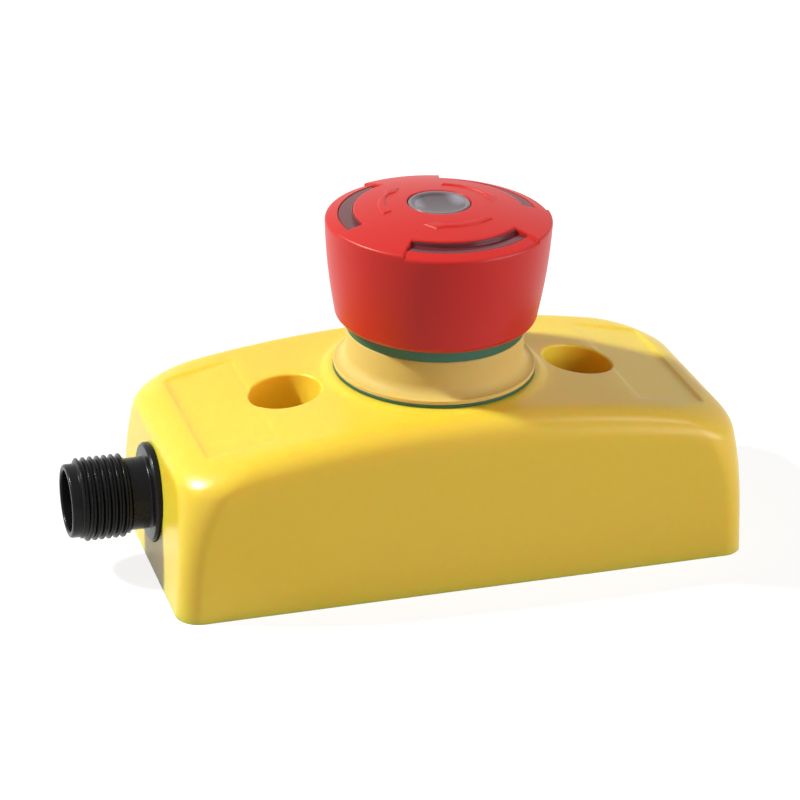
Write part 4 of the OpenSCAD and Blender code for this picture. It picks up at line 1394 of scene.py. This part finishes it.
@dataclass
class Collar:
    """The collar with its flared flange, the gasket under it and the indicator ring round its neck."""

    seat_z: float = 26.3
    gasket_low: float = 25.8
    flange_r: float = 14.4
    flange_edge: float = 0.6
    collar_r: float = 12.7
    shoulder_z: float = 32.0
    neck_top: float = 36.3
    neck_out_r: float = 10.9
    pocket_r: float = 9.9
    pocket_floor: float = 29.7
    guide_in_r: float = 5.58
    guide_r: float = 7.18
    spigot_r: float = 8.0
    spigot_z: float = 20.0
    seal_h: float = 2.0
    seal_sink: float = 1.0
    seal_lip: float = 0.4
    flare_edge: float = 0.12
    gasket_gap: float = 0.1
    gasket_out: float = 0.05
    ring_top: float = 36.8
    columns: int = 224

    def profile(self) -> list[Point]:
        """The collar's turned section.

        Returns:
            The points (r, z).
        """
        flare = self.flange_r - self.collar_r
        foot = self.seat_z + self.flange_edge
        curve = [
            Corner(self.flange_r - self.flare_edge - (flare - self.flare_edge) * math.sin(math.radians(t)),
                   foot + flare * (1 - math.cos(math.radians(t))))
            for t in range(6, 90, 6)
        ]
        seal_r, seal_top = self.guide_r - self.seal_lip, self.neck_top - self.seal_sink
        return rounded([
            Corner(self.guide_in_r, self.spigot_z, 0.2),
            Corner(self.spigot_r, self.spigot_z, 0.4),
            Corner(self.spigot_r, self.seat_z),
            Corner(self.flange_r, self.seat_z, 0.1),
            Corner(self.flange_r, foot, 0.28),
            *curve,
            Corner(self.collar_r, foot + flare),
            Corner(self.collar_r, self.shoulder_z, 0.22),
            Corner(self.neck_out_r, self.shoulder_z),
            Corner(self.neck_out_r, self.neck_top, 0.15),
            Corner(self.pocket_r, self.neck_top, 0.15),
            Corner(self.pocket_r, self.pocket_floor, 0.3),
            Corner(self.guide_r, self.pocket_floor, 0.3),
            Corner(self.guide_r, seal_top, 0.1),
            Corner(seal_r, seal_top),
            Corner(seal_r, seal_top - self.seal_h),
            Corner(self.guide_in_r, seal_top - self.seal_h),
        ])

    def build(self) -> None:
        """Makes and dresses the collar's pieces."""
        inner, outer = self.spigot_r + self.gasket_gap, self.flange_r + self.gasket_out
        gasket = rounded([
            Corner(inner, self.gasket_low), Corner(outer, self.gasket_low, 0.1), Corner(outer, self.seat_z, 0.1),
            Corner(inner, self.seat_z),
        ])
        ring = rounded([
            Corner(self.neck_out_r, self.shoulder_z), Corner(self.collar_r, self.shoulder_z, 0.12),
            Corner(self.collar_r, self.ring_top, 0.25), Corner(self.neck_out_r, self.ring_top, 0.15),
        ])
        for name, profile, node, finish, slot in (
            ("collar_body", self.profile(), "collar", CREAM, "cream_moulding"),
            ("collar_gasket", gasket, "collar_seal", GREEN_SEAL, "green_seal"),
            ("indicator_ring", ring, "armed_ring", GREEN, "green_moulding"),
        ):
            place(revolve(name, profile, self.columns), Body.ENCLOSURE, node, finish)


# Cap


@dataclass
class Cap:
    """The red push cap with its slots, lowered lips and relief arrows, and what shows in its top."""

    radius: float = 15.95
    low_z: float = 33.8
    height: float = 14.9
    dome_r: float = 57.0
    taper: float = 1.75
    straightness: float = 0.24
    foot_round: float = 1.2
    rim_round: float = 0.35
    wall: float = 1.65
    inner_r: float = 13.0
    skirt_h: float = 3.4
    head_low: float = 44.45
    head_bevel: float = 0.6
    ceiling_drop: float = 2.35
    # Slots, the lips outside them and the smoked ribs in them
    slot_count: int = 3
    slot_angle: float = -87.0
    slot_half: float = 39.0
    slot_in_r: float = 12.0
    slot_w: float = 2.1
    lip_drop: float = 0.4
    lip_slope: float = 0.3
    lip_step: float = 0.10
    lip_round: float = 0.14
    edge_round: float = 0.22
    rib_sink: float = 0.85
    rib_gap: float = 0.06
    rib_lip: float = 0.16
    rib_foot: float = 0.3
    rib_end: float = 0.4
    rib_steps: int = 60
    light_base_t: float = 0.8
    light_base_w: float = 0.3
    # Window and its well
    window_r: float = 4.4
    window_t: float = 1.75
    window_sink: float = 0.15
    window_clear: float = 0.1
    ledge_t: float = 0.95
    well_round: float = 0.16
    dish: float = 0.2
    neck_r: float = 3.85
    neck_clear: float = 0.05
    lens_gap: float = 0.04
    lens_shoulder: float = 0.6
    lens_bevel: Point = (0.95, 0.40)
    # Relief arrows: half widths across, lengths in degrees along
    arrow_r: float = 8.05
    arrow_head: float = -4.0
    arrow_head_l: float = 13.5
    arrow_head_w: float = 0.97
    arrow_tail: float = 70.0
    arrow_throat: float = 8.0
    arrow_w: Point = (0.72, 0.42)
    arrow_h: float = 0.2
    arrow_sink: float = 0.15
    arrow_bevel: float = 0.26
    arrow_steps: int = 26
    # Rows and columns of the mesh
    columns: int = 420
    near_slot: Sequence[float] = (0, 0.12, 0.25, 0.42, 0.62, 0.85, 1.1)
    inner_edge: Sequence[Point] = ((0.0, 0.25), (0.08, 0.07), (0.2, 0.0))
    rim_rows: Sequence[float] = (15.58, 15.3, 15.0, 14.7, 14.45, 14.3, 14.24, 14.18, 14.13)
    edge_rows: Sequence[float] = (0.03, 0.07, 0.12, 0.17, 0.22, 0.4)
    dome_rows: Sequence[float] = tuple(0.8 + 0.55 * i for i in range(12))
    well_rows: Sequence[float] = (0.16, 0.1, 0.05, 0.02, 0.0)

    @property
    def rim_z(self) -> float:
        """The rim's height."""
        return self.low_z + self.height

    @property
    def slot_out_r(self) -> float:
        """The slots' outer radius."""
        return self.slot_in_r + self.slot_w

    @property
    def ceiling_z(self) -> float:
        """The ceiling's height."""
        return self.dome_z(self.slot_in_r) - self.ceiling_drop

    @property
    def slot_middles(self) -> list[float]:
        """Angles of the slots' middles, in degrees."""
        return [self.slot_angle + 360 * k / self.slot_count for k in range(self.slot_count)]

    def dome_z(self, r: float) -> float:
        """Height of the dome at radius r."""
        return self.rim_z + math.sqrt(self.dome_r ** 2 - r * r) - math.sqrt(self.dome_r ** 2 - self.radius ** 2)

    def side_r(self, z: float) -> float:
        """Radius of the cap's side at height z."""
        f = (self.rim_z - z) / self.height
        return self.radius - self.taper * (self.straightness * f + (1 - self.straightness) * f * f)

    def angles(self) -> list[float]:
        """Column angles in degrees: even, with more beside each end of a slot.

        Returns:
            The angles in rising order.
        """
        ends = [middle + s * self.slot_half for middle in self.slot_middles for s in (-1, 1)]
        close = sorted({(e + s * d) % 360 for e in ends for d in self.near_slot for s in (-1, 1)})
        even = [360 * i / self.columns for i in range(self.columns)]
        return sorted(close + [a for a in even if min(apart(a, c) for c in close) > 0.3])

    def sector_gap(self, angle: float, r: float) -> float:
        """Distance along the rim from a column to the nearest slot's sector, negative inside it."""
        return math.radians(min(apart(angle, middle) for middle in self.slot_middles) - self.slot_half) * r

    def fillet(self, distance: float, size: float) -> float:
        """Drop of a rounded edge at a distance from it.

        Args:
            distance: The distance.
            size: The edge's radius.

        Returns:
            The drop, 0 past the rounding.
        """
        if distance >= size:
            return 0.0
        return size - math.sqrt(size ** 2 - (size - max(distance, 0.0)) ** 2)

    def top_point(self, angle: float, r: float) -> float:
        """Height of the top at a column and radius, with lips and rounded slot edges.

        Args:
            angle: The column's angle in degrees.
            r: The radius.

        Returns:
            The height.
        """
        z = self.dome_z(r)
        across = self.sector_gap(angle, r)
        if r <= self.slot_in_r - SNAP / 100:
            inward = self.slot_in_r - r
            return z - self.fillet(inward if across <= 0 else math.hypot(inward, across), self.edge_round)
        if across >= 0:
            return z - self.fillet(across, self.edge_round)
        outward = (r - self.slot_out_r) / (self.radius - self.slot_out_r)
        lip = self.lip_drop * (1 - self.lip_slope * (1 - outward))
        lowered = min(1.0, -across / self.lip_step)
        edge = self.fillet(r - self.slot_out_r, self.lip_round) if r >= self.slot_out_r - SNAP / 100 else 0.0
        return z - self.edge_round * (1 - lowered) - (lip + edge) * lowered

    def rows(self, angle: float) -> tuple[list[Point], tuple[int, int]]:
        """One column's closed section, from the inner foot round the outside to the inside.

        Args:
            angle: The column's angle in degrees.

        Returns:
            The points (r, z), and the numbers of the slot's first rows: its outer one on the top and its inner one
            on the ceiling.
        """
        drop = self.lip_drop * max(0.0, min(1.0, -self.sector_gap(angle, self.radius) / self.lip_step))
        low, high = self.low_z + self.foot_round, self.rim_z - self.rim_round - drop
        foot_x, edge_r = self.side_r(low) - self.foot_round, self.side_r(high) - self.rim_round
        top_edge = self.dome_z(edge_r) - drop
        points = [(self.inner_r + dr, self.low_z + dz) for dr, dz in self.inner_edge]
        for i in range(13):
            t = math.radians(-90 + 90 * i / 13)
            points.append((foot_x + self.foot_round * math.cos(t), low + self.foot_round * math.sin(t)))
        side = [low + (high - low) * i / 22 for i in range(23)]
        points += [(self.side_r(z), z) for z in side]
        for i in range(1, 6):
            t = math.pi / 2 * i / 6
            points.append((edge_r + self.rim_round * math.cos(t), high + (top_edge - high) * math.sin(t)))
        band = [self.slot_out_r - self.slot_w * i / 5 for i in range(6)]
        inner = [self.slot_in_r - d for d in (*self.edge_rows, *self.dome_rows)]
        on_top = len(points) + len(self.rim_rows)
        points += [(r, self.top_point(angle, r)) for r in [*self.rim_rows, *band, *inner]]
        well, neck = self.window_r + self.window_clear, self.neck_r + self.neck_clear
        points += [(well + d, self.dome_z(well + d) - self.fillet(d, self.well_round)) for d in self.well_rows]
        seat = self.dome_z(0) - self.window_sink - self.window_t
        ledge_r, ledge_z = self.window_r - self.window_clear, seat - self.ledge_t
        points += [(well, seat), (ledge_r, seat), (ledge_r, ledge_z), (neck, ledge_z), (neck, self.ceiling_z)]
        on_ceiling = len(points)
        points += [(r, self.ceiling_z) for r in reversed(band)]
        head_r, head_z = self.radius - self.wall, self.head_low - self.head_bevel
        points += [(head_r, self.ceiling_z), (head_r, head_z), (self.inner_r, self.low_z + self.skirt_h)]
        return points, (on_top, on_ceiling)

    def shell(self) -> bpy.types.Object:
        """The cap's closed mesh, with its slots cut through.

        Returns:
            The piece.
        """
        angles = self.angles()
        columns = [self.rows(a) for a in angles]
        top, ceiling = columns[0][1]
        count, n, span = len(columns[0][0]), len(angles), 5
        vertices = [
            (r * math.cos(math.radians(a)), r * math.sin(math.radians(a)), z)
            for a, (points, _) in zip(angles, columns) for r, z in points
        ]
        cut = [self.sector_gap((a + (angles[(i + 1) % n] - a) % 360 / 2) % 360, 1.0) < 0 for i, a in enumerate(angles)]
        faces = []
        for i in range(n):
            here, there = i * count, (i + 1) % n * count
            for j in range(count):
                if not (cut[i] and (top <= j < top + span or ceiling <= j < ceiling + span)):
                    faces.append([here + j, there + j, there + (j + 1) % count, here + (j + 1) % count])
            if cut[i]:
                for a, b in ((top, ceiling + span), (top + span, ceiling)):
                    faces.append([here + a, there + a, there + b, here + b])
            if cut[i] != cut[i - 1]:
                for a, b in zip(range(top, top + span), range(ceiling + span, ceiling, -1)):
                    faces.append([here + a, here + a + 1, here + b - 1, here + b])
        return mesh_object("push_cap", vertices, faces, 34.0)

    def drawn_in(self, outline: list[Point], by: float) -> list[Point]:
        """An arrow's outline drawn in by a distance.

        Args:
            outline: Points as angle in degrees and distance from the arrow's radius.
            by: The distance in millimetres.

        Returns:
            The moved points.
        """
        flat = [Vector((math.radians(a) * self.arrow_r, t)) for a, t in outline]
        moved = []
        for i, point in enumerate(flat):
            before, after = (point - flat[i - 1]).normalized(), (flat[(i + 1) % len(flat)] - point).normalized()
            normal = Vector((-before.y, before.x))
            push = (normal + Vector((-after.y, after.x))).normalized()
            p = point + push * min(by / max(0.35, push.dot(normal)), 2.2 * by)
            moved.append((math.degrees(p.x / self.arrow_r), p.y))
        return moved

    def arrow_pattern(self) -> bpy.types.Object:
        """One low arrow along the dome, its tail at the far end and its sides sloped.

        Returns:
            The arrow that is copied.
        """
        steps, (wide, narrow), tail = self.arrow_steps, self.arrow_w, self.arrow_tail
        neck = self.arrow_head + self.arrow_head_l
        reach = neck + self.arrow_throat - tail
        spine = [(tail + reach * i / steps, wide + (narrow - wide) * i / steps) for i in range(steps + 1)]
        outline = spine + [(neck, self.arrow_head_w), (self.arrow_head, 0.0), (neck, -self.arrow_head_w)]
        outline += [(a, -w) for a, w in reversed(spine)]
        slope = 0.85 * self.arrow_h
        levels = [(0.0, -self.arrow_sink), (0.0, 0.0), (slope, slope), (self.arrow_bevel, self.arrow_h)]
        vertices: list[Place] = []
        for by, lift in levels:
            for a, t in (self.drawn_in(outline, by) if by > 0 else outline):
                r, angle = self.arrow_r + t, math.radians(a)
                vertices.append((r * math.cos(angle), r * math.sin(angle), self.dome_z(r) + lift))
        m = len(outline)
        faces = walls(len(levels), m)
        for base in (0, (len(levels) - 1) * m):
            faces += [[base + i, base + i + 1, base + m - 2 - i, base + m - 1 - i] for i in range(steps)]
            faces.append([base + steps + i for i in range(5)])
        return mesh_object("arrow_pattern", vertices, faces, 20.0)

    def light_ring(self) -> bpy.types.Object:
        """The smoked ring: a base under the ceiling and a rib up through each slot.

        Returns:
            The piece.
        """
        crest_z = self.dome_z(self.slot_in_r)
        top, crest = crest_z - self.rib_sink, crest_z - self.edge_round
        inner, outer = self.slot_in_r + self.rib_gap, self.slot_out_r - self.rib_gap
        base_r = self.slot_in_r - self.light_base_w
        low, foot = self.ceiling_z - self.light_base_t, self.ceiling_z - self.rib_foot
        base = [(base_r, low), (outer, low), (outer, self.ceiling_z), (base_r, self.ceiling_z)]
        pieces = [revolve("light_base", base, 192)]
        section = rounded([
            Corner(inner, foot), Corner(outer, foot), Corner(outer, top, 0.12), Corner(inner + self.rib_lip, top, 0.05),
            Corner(inner + self.rib_lip, crest, 0.06), Corner(inner, crest, 0.05),
        ])
        half, m, steps = self.slot_half - self.rib_end, len(section), self.rib_steps
        caps = [list(range(m)), list(range(steps * m, (steps + 1) * m))]
        for k, middle in enumerate(self.slot_middles):
            turns = [math.radians(middle - half + 2 * half * i / steps) for i in range(steps + 1)]
            vertices = [(r * math.cos(t), r * math.sin(t), z) for t in turns for r, z in section]
            pieces.append(mesh_object(f"rib_{k}", vertices, walls(steps + 1, m) + caps))
        return join("light_guide", pieces)

    def window(self) -> bpy.types.Object:
        """The dished window with a bevelled edge.

        Returns:
            The piece.
        """
        top = self.dome_z(0) - self.window_sink
        low, lens_r = top - self.window_t, self.window_r + self.window_clear
        rim_r, flat_r = self.window_r - self.lens_gap, self.window_r - self.lens_bevel[0]
        shoulder, flat_z = top - self.lens_shoulder, top - self.lens_bevel[1]
        hollow = [(flat_r * (1 - i / 14), flat_z - self.dish * (1 - (1 - i / 14) ** 2)) for i in range(15)]
        edge = rounded([
            Corner(rim_r, shoulder), Corner(rim_r, top - 0.16, 0.1), Corner(rim_r - 0.2, top, 0.16),
            Corner(rim_r - 0.48, top - 0.02, 0.14), Corner(flat_r, flat_z, 0.14),
            Corner(flat_r * 0.9, flat_z - self.dish * 0.19),
        ], closed=False)
        profile = [(0.0, low), (lens_r, low), (lens_r, shoulder), (rim_r, shoulder), *edge[1:-1], *hollow[2:]]
        return revolve("window_dish", profile, 144, closed=False, sharp=50.0)

    def build(self) -> None:
        """Makes and dresses the cap's pieces."""
        place(self.shell(), Body.BUTTON, "cap", RED)
        arrows = RingTree().make(
            "turn_arrows", self.arrow_pattern(), count=3, radius=0.0, first=0.0, centre=False,
            finish=RED.material(), sharp=20.0,
        )
        place(arrows, Body.BUTTON, "", RED)
        place(self.light_ring(), Body.BUTTON, "light_ring", SMOKE)
        place(self.window(), Body.BUTTON, "window_lens", WINDOW)


def join(name: str, pieces: Sequence[bpy.types.Object]) -> bpy.types.Object:
    """One object of several pieces' meshes.

    Args:
        name: The joined piece's name.
        pieces: The pieces, which are removed.

    Returns:
        The joined piece.
    """
    bm = bmesh.new()
    for piece in pieces:
        bm.from_mesh(piece.data)
    mesh = bpy.data.meshes.new(name)
    bm.to_mesh(mesh)
    bm.free()
    for piece in pieces:
        bpy.data.objects.remove(piece)
    return smooth_object(name, mesh)


# Springs under the plunger


@dataclass(frozen=True)
class PlungerSpring:
    """A coil spring, made from its node's mesh."""

    node: str
    finish: Finish = SPRING

    def build(self, source: bpy.types.Object) -> bpy.types.Object:
        """Makes a smooth-shaded coil from a merged copy of the node's mesh.

        Args:
            source: The node's own piece, which stays as it is.

        Returns:
            The coil.
        """
        mesh = source.data.copy()
        merge(mesh)
        coil = smooth_object(f"{self.node}_coil", mesh)
        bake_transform(coil)
        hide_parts(self.node)
        dress(coil, self.finish)
        LOG.info("%s shortens with the plunger: %d faces", coil.name, len(coil.data.polygons))
        return coil


# Studio


@dataclass(frozen=True)
class Lamp:
    """A soft rectangular lamp that faces the object."""

    name: str
    azimuth: float
    elevation: float
    distance: float
    size: float
    power: float
    colour: tuple[float, float, float] = (1.0, 1.0, 1.0)

    def build(self, target: Vector) -> None:
        """Places the lamp, its azimuth counted from +X towards +Y.

        Args:
            target: The point that it faces, in metres.
        """
        data = bpy.data.lights.new(self.name, "AREA")
        data.shape = "DISK"
        data.size = self.size
        data.energy = self.power
        data.color = self.colour
        lamp = bpy.data.objects.new(self.name, data)
        a, e = math.radians(self.azimuth), math.radians(self.elevation)
        away = Vector((math.cos(a) * math.cos(e), math.sin(a) * math.cos(e), math.sin(e)))
        lamp.location = target + away * self.distance
        lamp.rotation_euler = away.to_track_quat("Z", "Y").to_euler()
        bpy.context.scene.collection.objects.link(lamp)


@dataclass
class Studio:
    """Camera, lamps, floor and white surroundings."""

    azimuth: float = -18.0858
    elevation: float = 25.4360
    roll: float = 1.6109
    distance: float = 397.699
    lens: float = 124.9735
    target: tuple[float, float, float] = (-4.9305, 0.0, 20.8468)
    ambient: float = 0.16
    reflected: float = 0.85
    floor_half: float = 6.0
    floor_grey: float = 0.28
    floor_glow: float = 0.84
    lamps: list[Lamp] = field(default_factory=lambda: [
        Lamp("key", 160.0, 41.5, 1.6, 0.14, 33.5, (0.90, 1.03, 0.95)),
        Lamp("side_fill", -40.0, 9.0, 1.6, 1.2, 19.0),
        Lamp("edge_light", -30.0, 50.0, 1.4, 0.2, 1.9),
        Lamp("left_fill", -138.0, 12.0, 1.6, 1.0, 1.7, (1.0, 0.95, 0.92)),
    ])

    def camera(self) -> None:
        """Places the camera as the photograph was taken."""
        data = bpy.data.cameras.new("camera")
        data.sensor_width = 36.0
        data.lens = self.lens
        data.clip_start, data.clip_end = 0.01, 20.0
        a, e, roll = (math.radians(v) for v in (self.azimuth, self.elevation, self.roll))
        back = Vector((math.sin(a) * math.cos(e), -math.cos(a) * math.cos(e), math.sin(e)))
        right = Vector((math.cos(a), math.sin(a), 0.0))
        up = back.cross(right)
        right, up = (right * math.cos(roll) + up * math.sin(roll), up * math.cos(roll) - right * math.sin(roll))
        camera = bpy.data.objects.new("camera", data)
        turn = Matrix((right, up, back)).transposed().to_4x4()
        camera.matrix_world = Matrix.Translation((Vector(self.target) + back * self.distance) * MM) @ turn
        bpy.context.scene.collection.objects.link(camera)
        bpy.context.scene.camera = camera

    def floor(self) -> None:
        """A wide pale floor that stays white to the camera and keeps a soft shadow."""
        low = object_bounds()[0].z
        half = self.floor_half
        mesh = bpy.data.meshes.new("floor")
        mesh.from_pydata([(x, y, low) for x, y in ((-half, -half), (half, -half), (half, half), (-half, half))], [],
                         [(0, 1, 2, 3)])
        floor = bpy.data.objects.new("floor", mesh)
        bpy.context.scene.collection.objects.link(floor)
        material = bpy.data.materials.new("pale_floor")
        material.use_nodes = True
        nodes, path = self.blank(material.node_tree)
        seen = nodes.maths("MAXIMUM", nodes.maths("MAXIMUM", path["Is Camera Ray"], path["Is Glossy Ray"]),
                           path["Is Transmission Ray"])
        matte = nodes.add("ShaderNodeBsdfDiffuse", values={"Color": rgba([self.floor_grey] * 3)})
        glow = nodes.add("ShaderNodeEmission", values={
            "Color": rgba([1.0] * 3), "Strength": nodes.maths("MULTIPLY", seen, self.floor_glow),
        })
        both = nodes.add("ShaderNodeAddShader", values={0: matte.outputs[0], 1: glow.outputs[0]})
        nodes.add("ShaderNodeOutputMaterial", values={"Surface": both.outputs[0]})
        mesh.materials.append(material)
        floor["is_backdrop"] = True

    def blank(self, tree: bpy.types.NodeTree) -> tuple[Nodes, bpy.types.NodeOutputs]:
        """Empties a tree and gives its helper and the Light Path node's outputs.

        Args:
            tree: The tree.

        Returns:
            The helper and the outputs.
        """
        tree.nodes.clear()
        nodes = Nodes(tree)
        return nodes, nodes.add("ShaderNodeLightPath").outputs

    def world(self) -> None:
        """White surroundings for the camera and for reflections, an even glow for the rest."""
        world = bpy.data.worlds.new("studio")
        bpy.context.scene.world = world
        world.use_nodes = True
        nodes, path = self.blank(world.node_tree)
        seen = nodes.maths("MAXIMUM", path["Is Camera Ray"], path["Is Transmission Ray"])
        glossy = nodes.maths("MULTIPLY", path["Is Glossy Ray"], self.reflected)
        strength = nodes.maths("MAXIMUM", nodes.maths("MAXIMUM", seen, glossy), self.ambient)
        sky = nodes.add("ShaderNodeBackground", values={"Color": rgba([1.0] * 3), "Strength": strength})
        nodes.add("ShaderNodeOutputWorld", values={"Surface": sky.outputs[0]})

    def build(self) -> None:
        """Makes the whole studio."""
        bpy.context.scene.view_settings.view_transform = "Standard"
        self.camera()
        self.floor()
        self.world()
        for lamp in self.lamps:
            lamp.build(Vector(self.target) * MM)


def dress_nodes(frame: dict) -> None:
    """Gives every node that keeps its own mesh its finish.
    """
    for name, finish in NODE_FINISHES.items():
        piece = frame["nodes"][name]
        dress(piece, finish)
        LOG.info("%s keeps its mesh: %s", name, finish.name)


def corners(bounds: tuple[Vector, Vector]) -> list[list[float]]:
    """A box's two corners as plain lists."""
    return [list(c) for c in bounds]


def main() -> None:
    """Builds the looks round the frame, in order."""
    logging.basicConfig(level=logging.INFO, format="%(name)s: %(message)s")
    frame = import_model()
    connector = Connector()
    Housing().build(connector)
    connector.build()
    Collar().build()
    Cap().build()
    for node in ("return_spring", "contact_springs"):
        PlungerSpring(node).build(frame["nodes"][node])
    dress_nodes(frame)
    Studio().build()


if __name__ == "__main__":
    main()
